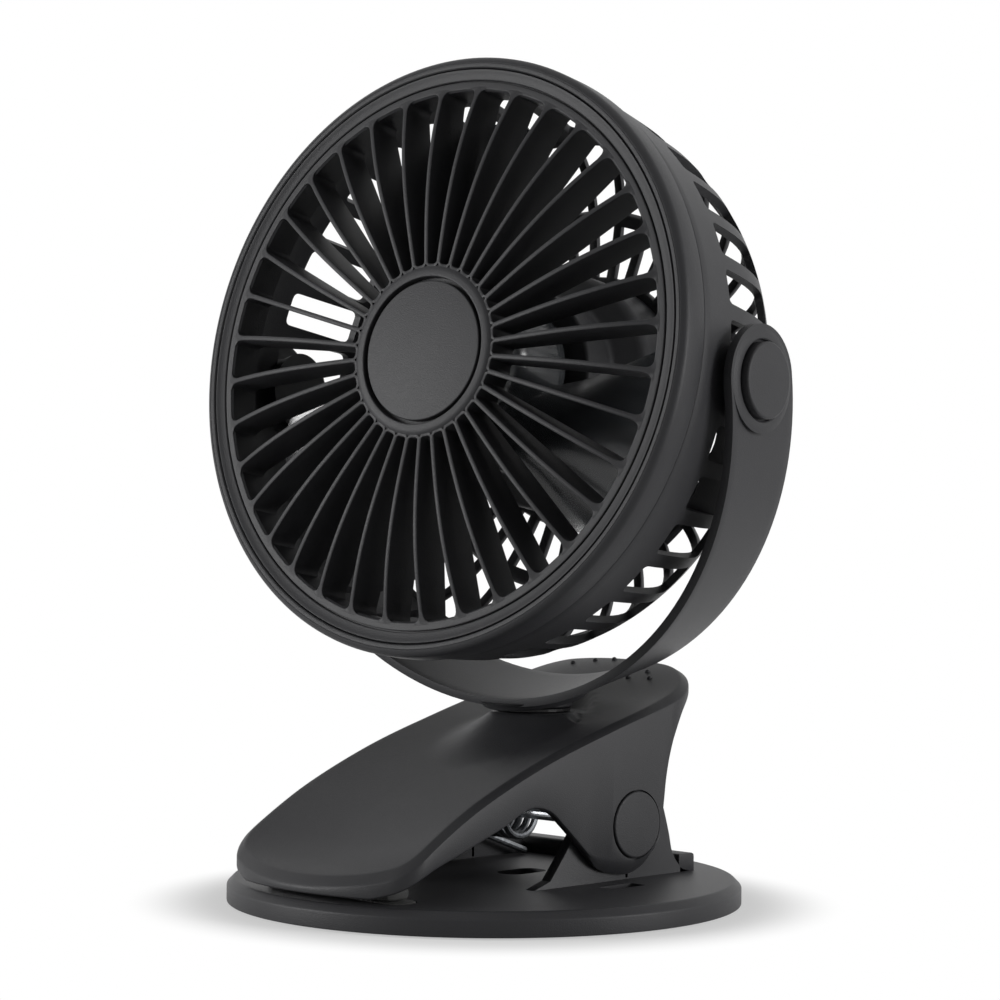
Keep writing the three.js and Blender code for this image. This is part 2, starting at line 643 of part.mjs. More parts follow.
function swivelPlate() {
  const [z0, z1] = [-PLATE_DEPTH - PLATE_THICKNESS, -PLATE_DEPTH];
  return turned([[2, z0], [PLATE_RADIUS, z0], [PLATE_RADIUS, z1], [2, z1]], 24);
}

function swivelScrew() {
  const under = -PLATE_DEPTH - PLATE_THICKNESS - CLEARANCE;
  return turned([
    [0, under - 2.2], [3.2, under - 2.2], [3.2, under], [SWIVEL_SCREW_RADIUS, under],
    [SWIVEL_SCREW_RADIUS, SCREW_END], [0, SCREW_END],
  ], 20);
}

// pieces on the tilt axis, drawn for the right arm and mirrored for the left
function tiltCap(side) {
  const [x0, x1] = [yokeOuter - 0.8 + CLEARANCE, yokeOuter + TILT_CAP_PROUD];
  const r = TILT_CAP_RADIUS;
  const cap = turned([[0, x0], [r, x0], [r, x1 - 0.6], [r - 0.6, x1], [0, x1]], 24);
  const recess = rod(5, x0 - 1, x0 + 0.6, 12);
  return place(cap.subtract(recess), { ry: 90 * side, z: pivotHeight });
}

const bossFace = YOKE_HALF_WIDTH - TILT_WASHER - 2 * CLEARANCE;

function tiltWasher(side) {
  const [x0, x1] = [bossFace + CLEARANCE, bossFace + CLEARANCE + TILT_WASHER];
  const [r0, r1] = [TILT_BOLT_RADIUS + 0.3, TILT_BOSS_RADIUS - 0.7];
  return place(turned([[r0, x0], [r1, x0], [r1, x1], [r0, x1]], 20), { ry: 90 * side, z: pivotHeight });
}

function tiltBolt(side) {
  const head = yokeOuter - 0.8 + CLEARANCE;
  const bolt = turned([
    [0, bossFace - 6], [TILT_BOLT_RADIUS, bossFace - 6], [TILT_BOLT_RADIUS, head],
    [4.4, head], [4.4, head + 0.35], [0, head + 0.35],
  ], 16);
  return place(bolt, { ry: 90 * side, z: pivotHeight });
}

// ---------------------------------------------------------------- head
// The head's own frame: Z runs forward along the fan's axis, Y up, and a depth d
// behind the rim's widest circle lies at Z = -d.
function drumRadius(depth) {
  const s = THREE.MathUtils.clamp((depth - DRUM_SHOULDER) / DRUM_ROUND, 0, 1);
  return (RIM_RADIUS - DRUM_TAPER * depth) * (1 - s ** DRUM_ROUND_POWER) ** (1 / DRUM_ROUND_POWER);
}

const slotPitch = 360 / SLOT_COUNT;
const stepRadius = drumRadius(RIM_SIDE) - RIM_STEP;

// the slot beside each tilt boss is left solid and the next ones are only recesses
function slotKind(index) {
  const angle = (index + 0.5) * slotPitch;
  const below = angle > 180 && angle < 270 ? angle - 180 : 360 - angle;
  if (below < slotPitch) return 'solid';
  if (below < slotPitch * (1 + BLIND_SLOTS)) return 'blind';
  return 'open';
}

function onTiltAxis(radius, from, to, segments) {
  return [-1, 1].map((side) => {
    const [a, b] = [side * from, side * to];
    return place(rodAlongX(radius, Math.min(a, b), Math.max(a, b), 0, 0, segments),
      { y: -PIVOT_DROP, z: -PIVOT_DEPTH });
  });
}

function drum() {
  const outer = [RIM_SIDE + 1, SLOT_FRONT, 31, SEAM_DEPTH].map((d) => [drumRadius(d), -d]);
  const inner = [SEAM_DEPTH, 33, 12].map((d) => [drumRadius(d) - WALL, -d]);
  const seatInner = GRILLE_SEAT_RADIUS + CLEARANCE;
  const shell = turned([
    [seatInner, RIM_PROUD - 0.3], [seatInner + 0.5, RIM_PROUD], [RIM_RADIUS - 1.6, RIM_PROUD],
    [RIM_RADIUS - 0.4, RIM_PROUD - 0.7], [RIM_RADIUS, 0], [RIM_RADIUS, -RIM_SIDE + 0.6],
    [stepRadius, -RIM_SIDE],
    ...outer,
    ...inner,
    [GRILLE_SEAT_RADIUS - 1.5, -GRILLE_DEPTH - 0.8], [seatInner, -GRILLE_DEPTH - CLEARANCE],
  ], 36);
  const radius = drumRadius((SLOT_FRONT + SLOT_REAR) / 2);
  const slotWidth = 2 * radius * Math.sin(SLOT_ANGLE / 2 * deg);
  const [w, z0, z1] = [slotWidth / 2, -SLOT_REAR, -SLOT_FRONT];
  const open = block(radius - 20, radius + 9, -w, w, z0, z1);
  const blind = block(radius - 1.2, radius + 9, -w, w, z0, z1);
  const slots = [];
  for (let i = 0; i < SLOT_COUNT; i += 1) {
    const kind = slotKind(i);
    const turn = { rz: (i + 0.5) * slotPitch };
    if (kind !== 'solid') slots.push(place(kind === 'open' ? open : blind, turn));
  }
  const bosses = onTiltAxis(TILT_BOSS_RADIUS, radius - 4, bossFace, 24);
  const bores = onTiltAxis(TILT_BOLT_RADIUS + 0.2, radius - 6, yokeOuter, 14);
  return cut(join(cut(shell, ...slots), ...bosses), ...bores);
}

// a point on the rounded back: roundness 0 at the drum's side, 90 degrees at the fan's axis
function backPoint(roundness, inset) {
  const [s, c] = [Math.sin(roundness), Math.cos(roundness)];
  const depth = DRUM_SHOULDER + DRUM_ROUND * s ** (2 / DRUM_ROUND_POWER);
  const radius = (RIM_RADIUS - DRUM_TAPER * depth) * c ** (2 / DRUM_ROUND_POWER);
  return [radius - inset * c, -depth + inset * s ** 3];
}

function roundnessAtDepth(depth) {
  return Math.asin(((depth - DRUM_SHOULDER) / DRUM_ROUND) ** (DRUM_ROUND_POWER / 2));
}

function roundnessAtRadius(radius) {
  let [low, high] = [0, Math.PI / 2];
  for (let i = 0; i < 30; i += 1) {
    const middle = (low + high) / 2;
    if (backPoint(middle, 0)[0] > radius) low = middle;
    else high = middle;
  }
  return low;
}

function backBand(from, to, steps) {
  const points = [];
  for (let i = 0; i <= steps; i += 1) points.push(backPoint(from + (to - from) * i / steps, 0));
  for (let i = steps; i >= 0; i -= 1) points.push(backPoint(from + (to - from) * i / steps, WALL));
  return points;
}

function rearCage() {
  const seamStart = roundnessAtDepth(SEAM_DEPTH + CLEARANCE);
  const seamEnd = roundnessAtDepth(SEAM_DEPTH + CLEARANCE + SEAM_RING_WIDTH);
  const podEdge = roundnessAtRadius(POD_RADIUS - POD_WALL / 2);
  const hubEdge = roundnessAtRadius(POD_RADIUS + 2.4);
  const ringFrom = roundnessAtRadius(CAGE_RING_RADIUS + CAGE_RING_WIDTH / 2);
  const ringTo = roundnessAtRadius(CAGE_RING_RADIUS - CAGE_RING_WIDTH / 2);
  const seamRing = turned(backBand(seamStart, seamEnd, 1), 36);
  const ring = turned(backBand(ringFrom, ringTo, 1), CAGE_RIB_COUNT);
  const hubRing = turned(backBand(hubEdge, podEdge, 1), CAGE_RIB_COUNT);
  const shape = new THREE.Shape();
  backBand((seamStart + seamEnd) / 2, (hubEdge + podEdge) / 2, 3).forEach(([r, z], i) => {
    if (i === 0) shape.moveTo(r, z);
    else shape.lineTo(r, z);
  });
  const half = CAGE_RIB_WIDTH / 2;
  const rib = place(prism(shape, -half, half, 2), { rx: 90 });
  const ribs = [];
  for (let i = 0; i < CAGE_RIB_COUNT; i += 1) ribs.push(place(rib, { rz: i * 360 / CAGE_RIB_COUNT }));
  const podBack = backPoint(podEdge, 0)[1];
  const r = POD_RADIUS;
  const w = POD_WALL;
  const flare = -POD_NECK_END;
  const pod = turned([
    [0, -POD_FRONT], [POD_NECK_RADIUS - 1, -POD_FRONT], [POD_NECK_RADIUS, -POD_FRONT - 1],
    [POD_NECK_RADIUS, flare], [r, flare - 4], [r, podBack], [r - w, podBack],
    [r - w, flare - 4.6], [POD_NECK_RADIUS - w, flare - 0.6],
    [POD_NECK_RADIUS - w, -POD_FRONT - w], [0, -POD_FRONT - w],
  ], CAGE_RIB_COUNT);
  const screwPosts = coverScrewAngles.map((angle) => {
    const [x, y] = [COVER_SCREW_ORBIT * Math.cos(angle), COVER_SCREW_ORBIT * Math.sin(angle)];
    const post = turned([[1.2, -coverFront + CLEARANCE], [COVER_POST_RADIUS, -coverFront + CLEARANCE],
      [COVER_POST_RADIUS, -BATTERY_FRONT], [1.2, -BATTERY_FRONT]], 8);
    return place(post, { x, y });
  });
  const shaftHole = rod(3, -POD_FRONT - w - 1, -POD_FRONT + 1, 14);
  const screwHoles = motorScrewPositions.map((x) => place(
    rod(1.2, -POD_FRONT - w - 1, -POD_FRONT + 1, 10), { x }));
  return cut(join(seamRing, ring, hubRing, pod, ...ribs, ...screwPosts), shaftHole, ...screwHoles);
}

// ---------------------------------------------------------------- rear housing contents
function coverPlate() {
  const r = POD_RADIUS - POD_WALL - CLEARANCE;
  const [z0, z1] = [-coverBack, -coverFront];
  const disc = turned([[0, z0], [r - 0.8, z0], [r, z0 + 0.8], [r, z1], [0, z1]], CAGE_RIB_COUNT);
  const buttonHole = rod(BUTTON_RADIUS + 0.35, z0 - 1, z1 + 1, 16);
  const inlet = roundedRectangle(INLET_WIDTH + 0.8, INLET_HEIGHT + 0.8, INLET_HEIGHT / 2);
  const inletHole = place(prism(inlet, z0 - 1, z1 + 1, 2), { y: -INLET_OFFSET });
  const lampHoles = lampAngles.map((angle) => place(rod(LAMP_RADIUS + 0.3, z0 - 1, z1 + 1, 8),
    { x: LAMP_ORBIT * Math.cos(angle), y: LAMP_ORBIT * Math.sin(angle) }));
  const screwHoles = coverScrewAngles.map((angle) => place(turned([
    [0, z0 - 1], [2.4, z0 - 1], [2.4, z0 + 1.2], [1.4, z0 + 1.2], [1.4, z1 + 1], [0, z1 + 1]], 10),
    { x: COVER_SCREW_ORBIT * Math.cos(angle), y: COVER_SCREW_ORBIT * Math.sin(angle) }));
  return cut(disc, buttonHole, inletHole, ...lampHoles, ...screwHoles);
}

function coverScrew(angle) {
  const back = -coverBack + 0.3;
  const screw = turned([
    [0, back + 0.4], [0.8, back], [2, back], [2, back + 0.7], [1, back + 0.7],
    [1, back + 7], [0, back + 7]], 12);
  return place(screw, { x: COVER_SCREW_ORBIT * Math.cos(angle), y: COVER_SCREW_ORBIT * Math.sin(angle) });
}

function powerButton() {
  const back = -coverBack - BUTTON_PROUD;
  const flange = -coverFront + CLEARANCE;
  return turned([
    [0, back + 0.5], [3.2, back + 0.35], [BUTTON_RADIUS - 0.9, back], [BUTTON_RADIUS, back + 0.7],
    [BUTTON_RADIUS, flange], [BUTTON_RADIUS + 1.5, flange], [BUTTON_RADIUS + 1.5, flange + 0.8],
    [0, flange + 0.8]], 16);
}

function lampPipe() {
  const from = -coverFront + CLEARANCE;
  const pins = lampAngles.map((angle) => place(rod(LAMP_RADIUS, -coverBack + 0.2, from + 0.5, 8),
    { x: LAMP_ORBIT * Math.cos(angle), y: LAMP_ORBIT * Math.sin(angle) }));
  const spread = LAMP_ORBIT * Math.sin(lampAngles[0] - lampAngles[lampAngles.length - 1]);
  const bar = block(-spread / 2 - 2, spread / 2 + 2, LAMP_ORBIT - 2.2, LAMP_ORBIT + 1.6, from, from + 0.9);
  return join(bar, ...pins);
}

function usbInlet() {
  const [z0, z1] = [-coverBack + 0.3, -BOARD_BACK + CLEARANCE - 0.6];
  const shell = prism(roundedRectangle(INLET_WIDTH, INLET_HEIGHT, INLET_HEIGHT / 2 - 0.1), z0, z1, 2);
  const mouth = roundedRectangle(INLET_WIDTH - 0.7, INLET_HEIGHT - 0.7, INLET_HEIGHT / 2 - 0.45);
  const tongue = block(-INLET_WIDTH / 2 + 1.3, INLET_WIDTH / 2 - 1.3, -0.35, 0.35, z0 + 0.6, z1 - 0.5);
  return place(join(shell.subtract(prism(mouth, z0 - 1, z1 - 0.8, 2)), tongue), { y: -INLET_OFFSET });
}

function controlBoard() {
  const board = rod(BOARD_RADIUS, -BOARD_BACK, -BOARD_FRONT, 24);
  const switchDome = rod(2, -BOARD_BACK - 0.45, -BOARD_FRONT - 0.4, 10);
  return join(board, switchDome);
}

function battery() {
  const shape = roundedRectangle(BATTERY_LENGTH, BATTERY_WIDTH, 2);
  return prism(shape, -BATTERY_FRONT - BATTERY_THICKNESS, -BATTERY_FRONT, 4);
}

function motorCan() {
  const front = -MOTOR_FRONT;
  const back = front - MOTOR_LENGTH;
  const r = MOTOR_RADIUS;
  const can = turned([[0, back], [r - 1, back], [r, back + 1], [r, front - 0.6], [r - 0.6, front], [0, front]], 16);
  const bore = rod(SHAFT_RADIUS + CLEARANCE, -MOTOR_FRONT - MOTOR_LENGTH + 3, 0, 10);
  const screwHoles = motorScrewPositions.map((x) => place(rod(1.2, front - 4.8, 0, 10), { x }));
  return cut(can, bore, ...screwHoles);
}

function motorShaft() {
  return rod(SHAFT_RADIUS, -MOTOR_FRONT - MOTOR_LENGTH + 3.3, -SPINNER_FRONT - 3, 12);
}

function motorScrew(x) {
  const seatZ = -POD_FRONT + CLEARANCE;
  return place(turned([[0, seatZ - 4.6], [0.9, seatZ - 4.6], [0.9, seatZ], [2, seatZ], [2, seatZ + 0.9],
    [1.2, seatZ + 1.3], [0, seatZ + 1.3]], 12), { x });
}

// ---------------------------------------------------------------- impeller
function bladeGeometry() {
  const [across, along] = [4, 5];
  const positions = [];
  const index = [];
  for (let side = 0; side < 2; side += 1) {
    for (let j = 0; j <= across; j += 1) {
      const u = j / across;
      const r = BLADE_ROOT_RADIUS + (BLADE_RADIUS - BLADE_ROOT_RADIUS) * u;
      const tipRound = Math.sqrt(1 - Math.max(0, (u - 0.6) / 0.4) ** 4 * 0.45);
      const span = BLADE_SWEEP * (0.8 + 0.2 * Math.sin(u * Math.PI * 0.75)) * tipRound;
      for (let i = 0; i <= along; i += 1) {
        const v = i / along;
        const angle = (v - 0.5) * span * deg + u * 14 * deg;
        const rise = (BLADE_REAR - BLADE_FRONT - BLADE_THICKNESS) * (1 - 0.25 * u);
        const camber = 1.6 * Math.sin(v * Math.PI);
        const z = -(BLADE_FRONT + BLADE_REAR) / 2 + rise * (0.5 - v) + camber;
        const offset = (side - 0.5) * BLADE_THICKNESS * (v === 0 || v === 1 ? 0.6 : 1);
        positions.push(r * Math.cos(angle), r * Math.sin(angle), z + offset);
      }
    }
  }
  const at = (side, j, i) => side * (across + 1) * (along + 1) + j * (along + 1) + i;
  const quad = (a, b, c, d) => index.push(a, b, c, a, c, d);
  for (let j = 0; j < across; j += 1) {
    for (let i = 0; i < along; i += 1) {
      quad(at(1, j, i), at(1, j + 1, i), at(1, j + 1, i + 1), at(1, j, i + 1));
      quad(at(0, j, i), at(0, j, i + 1), at(0, j + 1, i + 1), at(0, j + 1, i));
    }
    quad(at(0, j, 0), at(0, j + 1, 0), at(1, j + 1, 0), at(1, j, 0));
    quad(at(0, j + 1, along), at(0, j, along), at(1, j, along), at(1, j + 1, along));
  }
  for (let i = 0; i < along; i += 1) {
    quad(at(0, 0, i + 1), at(0, 0, i), at(1, 0, i), at(1, 0, i + 1));
    quad(at(0, across, i), at(0, across, i + 1), at(1, across, i + 1), at(1, across, i));
  }
  const geometry = new THREE.BufferGeometry();
  geometry.setAttribute('position', new THREE.Float32BufferAttribute(positions, 3));
  geometry.setIndex(index);
  return geometry;
}

function impeller() {
  const r = SPINNER_RADIUS;
  const [front, back] = [-SPINNER_FRONT, -SPINNER_REAR];
  const hub = turned([
    [0, front], [r - 5, front], [r - 1.6, front - 1.4], [r, front - 5], [r, back],
    [r - 1.6, back], [r - 1.6, front - 5.4], [r - 5, front - 1.8], [3.2, front - 1.8],
    [3.2, back + 3], [SHAFT_RADIUS + CLEARANCE, back + 3], [SHAFT_RADIUS + CLEARANCE, front - 2.6],
    [0, front - 2.6],
  ], 20);
  const blade = toSolid(bladeGeometry());
  const blades = [];
  for (let i = 0; i < BLADE_COUNT; i += 1) blades.push(place(blade, { rz: BLADE_PHASE + i * 360 / BLADE_COUNT }));
  const hollow = rod(r - 1, back - 1, front, 20);
  return join(hub, ...blades.map((one) => one.subtract(hollow)));
}

// ---------------------------------------------------------------- front grille
function frontGrille() {
  const back = -GRILLE_DEPTH;
  const ro = VANE_OUTER_RADIUS;
  const ring = turned([
    [ro, back], [ro, 0.9], [ro + 1.7, 0.7], [ro + 1.9, 0.1], [ro + 2.2, 0.1], [ro + 2.4, 0.5],
    [GRILLE_SEAT_RADIUS - 0.3, 1.3], [GRILLE_SEAT_RADIUS, 1], [GRILLE_SEAT_RADIUS, back],
  ], 36);
  const face = 1 + VANE_DOME;
  const floor = face - HUB_CAP_THICKNESS - 0.35;
  const groove = HUB_CAP_RADIUS + HUB_GROOVE;
  const hub = turned([
    [0, floor], [groove, floor], [groove, face + 0.2], [groove + 0.4, face + 0.4],
    [HUB_RADIUS - 0.7, face + 0.2], [HUB_RADIUS, face - 0.4], [HUB_RADIUS, face - HUB_DEPTH],
    [HUB_RADIUS - 1.6, face - HUB_DEPTH], [HUB_RADIUS - 1.6, floor - 1.6], [0, floor - 1.6],
  ], 24);
  const shape = new THREE.Shape();
  const steps = 3;
  const [r0, r1] = [HUB_RADIUS - 0.8, ro + 0.6];
  for (let i = 0; i <= steps; i += 1) {
    const t = i / steps;
    const dome = 0.85 + VANE_DOME * (1 - t ** 3) + VANE_SWELL * Math.sin(t * Math.PI);
    if (i === 0) shape.moveTo(r0, dome);
    else shape.lineTo(r0 + (r1 - r0) * t, dome);
  }
  shape.lineTo(r1, 0.85 - VANE_DEPTH * 0.9);
  shape.lineTo(r0, face - HUB_DEPTH + 0.4);
  const half = VANE_THICKNESS / 2;
  const vane = place(prism(shape, -half, half, 2), { rx: 90 });
  const vanes = [];
  for (let i = 0; i < VANE_COUNT; i += 1) vanes.push(place(vane, { rz: (i + 0.5) * 360 / VANE_COUNT }));
  return join(ring, hub, ...vanes);
}

function hubCap() {
  const face = 1 + VANE_DOME;
  const r = HUB_CAP_RADIUS;
  return turned([[0, face - HUB_CAP_THICKNESS], [r, face - HUB_CAP_THICKNESS],
    [r, face - 0.2], [r - 0.3, face], [0, face]], 28);
}

// ---------------------------------------------------------------- assembly
const root = new THREE.Group();
const seat = new THREE.Group();
seat.position.set(0, SWIVEL_Y, SWIVEL_Z);
seat.rotation.z = SWIVEL_TURN * deg;
root.add(seat);
const arms = new THREE.Group();
arms.position.set(0, 0, YOKE_STAND);
arms.rotation.x = YOKE_LEAN * deg;
seat.add(arms);
const head = new THREE.Group();
head.position.set(0, 0, pivotHeight);
head.rotation.x = (90 - HEAD_TILT) * deg;
arms.add(head);
// the fan's axis in the head: above the tilt axis, widest circle of the rim in front of it
const fan = new THREE.Group();
fan.position.set(0, PIVOT_DROP, PIVOT_DEPTH);
head.add(fan);

root.add(
  piece('foot', foot(), charcoal),
  piece('foot_mat', footMat(), rubber),
  piece('foot_weight', footWeight(), steel),
  piece('foot_jaw_pad', footJawPad(), rubber),
  piece('lever', lever(), charcoal),
  piece('lever_jaw_pad', leverJawPad(), rubber),
  piece('hinge_pin', hingePin(), steel),
  piece('hinge_cap_right', hingeCap(1), charcoal),
  piece('hinge_cap_left', hingeCap(-1), charcoal),
  piece('clip_spring', clipSpring(), steel),
);
seat.add(
  piece('swivel_washer', swivelWasher(), acetal),
  piece('swivel_plate', swivelPlate(), steel),
  piece('swivel_screw', swivelScrew(), steel),
);
arms.add(
  piece('yoke', yoke(), charcoal),
  piece('tilt_cap_right', tiltCap(1), charcoal),
  piece('tilt_cap_left', tiltCap(-1), charcoal),
  piece('tilt_washer_right', tiltWasher(1), acetal),
  piece('tilt_washer_left', tiltWasher(-1), acetal),
  piece('tilt_bolt_right', tiltBolt(1), steel),
  piece('tilt_bolt_left', tiltBolt(-1), steel),
);
fan.add(
  piece('drum', drum(), charcoal),
  piece('rear_cage', rearCage(), charcoal),
  piece('front_grille', frontGrille(), charcoal),
  piece('hub_cap', hubCap(), charcoal),
  piece('rear_cover', coverPlate(), charcoal),
  piece('power_button', powerButton(), charcoal),
  piece('lamp_pipe', lampPipe(), lampClear),
  piece('usb_inlet', usbInlet(), steel),
  piece('control_board', controlBoard(), boardGreen),
  piece('battery', battery(), foil),
  piece('motor', motorCan(), steel),
  piece('motor_shaft', motorShaft(), steel),
  piece('impeller', impeller(), smoke),
  ...coverScrewAngles.map((angle, i) => piece(`cover_screw_${i + 1}`, coverScrew(angle), steel)),
  ...motorScrewPositions.map((x, i) => piece(`motor_screw_${i + 1}`, motorScrew(x), brass)),
);

export default root;
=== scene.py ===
# A small rechargeable fan on a spring clip: round foot and jaw lever, swivelling yoke,
# and a drum-shaped head with radial vanes in front and a ribbed cage behind.
# Pieces are drawn in millimetres, in the frame of what carries them, then put in place in metres.
import math

import bpy
from mathutils import Matrix, Vector


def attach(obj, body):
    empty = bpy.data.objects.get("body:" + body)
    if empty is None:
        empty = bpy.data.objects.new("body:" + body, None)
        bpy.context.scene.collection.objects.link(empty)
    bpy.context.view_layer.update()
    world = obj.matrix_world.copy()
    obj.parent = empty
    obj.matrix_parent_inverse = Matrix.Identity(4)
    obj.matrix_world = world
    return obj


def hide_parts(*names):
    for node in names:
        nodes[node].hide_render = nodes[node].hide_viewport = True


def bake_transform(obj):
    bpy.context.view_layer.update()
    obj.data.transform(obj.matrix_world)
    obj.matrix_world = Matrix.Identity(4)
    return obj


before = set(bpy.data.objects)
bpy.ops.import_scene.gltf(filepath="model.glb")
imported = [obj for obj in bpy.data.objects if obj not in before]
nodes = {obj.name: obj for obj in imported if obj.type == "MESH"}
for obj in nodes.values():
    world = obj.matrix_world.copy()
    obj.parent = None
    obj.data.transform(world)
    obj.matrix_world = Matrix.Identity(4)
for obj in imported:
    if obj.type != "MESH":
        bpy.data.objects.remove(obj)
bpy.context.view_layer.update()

# ---------------------------------------------------------------- camera
# A 100 mm lens stands level with the yoke, 45 degrees to the right of the foot's front,
# and is rolled by half a degree.
camera = bpy.data.objects.new("camera", bpy.data.cameras.new("camera"))
bpy.context.scene.collection.objects.link(camera)
bpy.context.scene.camera = camera
camera.data.lens = 100.56
camera.data.sensor_width = 36
camera.data.clip_start = 0.01
camera.data.clip_end = 20
camera_right = Vector((0.7071, 0.7070, 0.0087)).normalized()
camera_back = camera_right.cross(Vector((-0.006, -0.0064, 1))).normalized()
camera_up = camera_back.cross(camera_right)
camera_turn = Matrix((camera_right, camera_up, camera_back)).transposed().to_4x4()
camera.matrix_world = Matrix.Translation((0.4689, -0.4648, 0.0944)) @ camera_turn


# ---------------------------------------------------------------- studio
# A pale floor that runs out into a white background, a broad softbox at the camera's left,
# a narrower one at its right, and a weak one overhead.
def linear(hex_colour):
    """The linear colour of an sRGB hex value."""
    parts = [int(hex_colour[i:i + 2], 16) / 255 for i in (1, 3, 5)]
    return [*(p / 12.92 if p <= 0.04045 else ((p + 0.055) / 1.055) ** 2.4 for p in parts), 1]


def add_node(tree, kind, settings=None, values=None, links=None):
    """Adds a node, sets its properties and input values, and links its inputs."""
    made = tree.nodes.new(kind)
    for name, setting in (settings or {}).items():
        setattr(made, name, setting)
    for name, value in (values or {}).items():
        made.inputs[name].default_value = value
    for name, source in (links or {}).items():
        tree.links.new(source, made.inputs[name])
    return made


def seen_directly(tree):
    """1 for what the camera, a reflection or a see-through piece looks at, and 0 for light."""
    rays = add_node(tree, "ShaderNodeLightPath")
    total = rays.outputs["Is Camera Ray"]
    for other in ("Is Glossy Ray", "Is Transmission Ray"):
        total = add_node(tree, "ShaderNodeMath", {"operation": "MAXIMUM"},
                         links={0: total, 1: rays.outputs[other]}).outputs[0]
    return total


def softbox(name, at, towards, size, power):
    lamp = bpy.data.lights.new(name, "AREA")
    lamp.shape = "RECTANGLE"
    lamp.size, lamp.size_y = size
    lamp.energy = power
    stand = bpy.data.objects.new(name, lamp)
    bpy.context.scene.collection.objects.link(stand)
    stand.location = at
    stand.rotation_euler = (Vector(towards) - Vector(at)).to_track_quat("-Z", "Y").to_euler()


softbox("softbox_left", (-0.85, -1.15, 0.22), (0, 0, 0.1), (0.6, 0.7), 20)
softbox("softbox_right", (1.2, 0.55, 0.2), (0, 0, 0.1), (0.5, 0.8), 17)
softbox("softbox_top", (-0.1, 0.1, 1.3), (0, 0, 0), (0.9, 0.9), 0.6)

world = bpy.data.worlds.new("white_studio")
bpy.context.scene.world = world
world.use_nodes = True
sky = world.node_tree
sky.nodes.clear()
sky_light = add_node(sky, "ShaderNodeBackground", values={"Color": linear("#FFFFFF"), "Strength": 0.06})
sky_seen = add_node(sky, "ShaderNodeBackground", values={"Color": linear("#FFFFFF"), "Strength": 1.0})
sky_mix = add_node(sky, "ShaderNodeMixShader", links={
    0: seen_directly(sky), 1: sky_light.outputs[0], 2: sky_seen.outputs[0]})
add_node(sky, "ShaderNodeOutputWorld", links={"Surface": sky_mix.outputs[0]})

bpy.ops.object.select_all(action="DESELECT")
bpy.ops.mesh.primitive_circle_add(vertices=96, radius=8, fill_type="NGON")
floor = bpy.context.object
floor.name = "studio_floor"
paper = bpy.data.materials.new("white_paper_sweep")
paper.use_nodes = True
floor.data.materials.append(paper)
paper_tree = paper.node_tree
paper_tree.nodes.clear()
# the sheet is lit only near the object and is plain white further out
paper_place = add_node(paper_tree, "ShaderNodeTexCoord").outputs["Object"]
paper_reach = add_node(paper_tree, "ShaderNodeVectorMath", {"operation": "LENGTH"},
                       links={0: paper_place})
paper_fade = add_node(paper_tree, "ShaderNodeMapRange", {"interpolation_type": "SMOOTHSTEP"},
                      {"From Min": 0.0606, "From Max": 0.085, "To Min": 0.45},
                      {"Value": paper_reach.outputs["Value"]})
paper_seen = add_node(paper_tree, "ShaderNodeMath", {"operation": "MULTIPLY"},
                      links={0: paper_fade.outputs[0], 1: seen_directly(paper_tree)})
paper_grain = add_node(paper_tree, "ShaderNodeTexNoise", values={"Scale": 900.0, "Detail": 3.0},
                       links={"Vector": paper_place})
paper_bump = add_node(paper_tree, "ShaderNodeBump", values={"Strength": 0.03, "Distance": 0.0002},
                      links={"Height": paper_grain.outputs[0]})
paper_matt = add_node(paper_tree, "ShaderNodeBsdfDiffuse", values={"Color": linear("#F7F7F6")},
                      links={"Normal": paper_bump.outputs[0]})
paper_white = add_node(paper_tree, "ShaderNodeEmission",
                       values={"Color": linear("#FFFFFF"), "Strength": 1.0})
paper_mix = add_node(paper_tree, "ShaderNodeMixShader", links={
    0: paper_seen.outputs[0], 1: paper_matt.outputs[0], 2: paper_white.outputs[0]})
add_node(paper_tree, "ShaderNodeOutputMaterial", links={"Surface": paper_mix.outputs[0]})

# ---------------------------------------------------------------- foot of the clip
# The lower jaw: a moulded disc with two hinge cheeks and a stop bar at the rear,
# open below for the steel weight and the rubber mat. Charcoal ABS, one moulding.
FOOT_RADIUS = 60.6
FOOT_TOP = 6.0
HINGE_Y, HINGE_Z = 20.0, 19.0
MILLIMETRE = 0.001


def start_drawing(name, at):
    """A plane drawn together to one vertex, left in edit mode for an outline."""
    bpy.ops.object.select_all(action="DESELECT")
    bpy.ops.mesh.primitive_plane_add(size=1)
    piece = bpy.context.object
    piece.name = name
    bpy.ops.object.mode_set(mode="EDIT")
    bpy.ops.mesh.select_mode(type="VERT")
    bpy.ops.mesh.select_all(action="SELECT")
    bpy.ops.mesh.merge(type="CENTER")
    bpy.ops.transform.translate(value=at)
    return piece


def draw_on(points):
    for here, there in zip(points, points[1:]):
        step = Vector(there) - Vector(here)
        bpy.ops.mesh.extrude_region_move(TRANSFORM_OT_translate={"value": step})


def to_edit(select="SELECT"):
    """Enters edit mode with all selected, or with nothing."""
    bpy.ops.object.mode_set(mode="EDIT")
    bpy.ops.mesh.select_all(action=select)


def closed_up():
    """Turns all faces of the piece in edit mode outwards and leaves edit mode."""
    bpy.ops.mesh.select_all(action="SELECT")
    bpy.ops.mesh.normals_make_consistent(inside=False)
    bpy.ops.object.mode_set(mode="OBJECT")


def welded():
    """Merges vertices that lie on each other."""
    bpy.ops.mesh.select_all(action="SELECT")
    bpy.ops.mesh.remove_doubles(threshold=0.002)


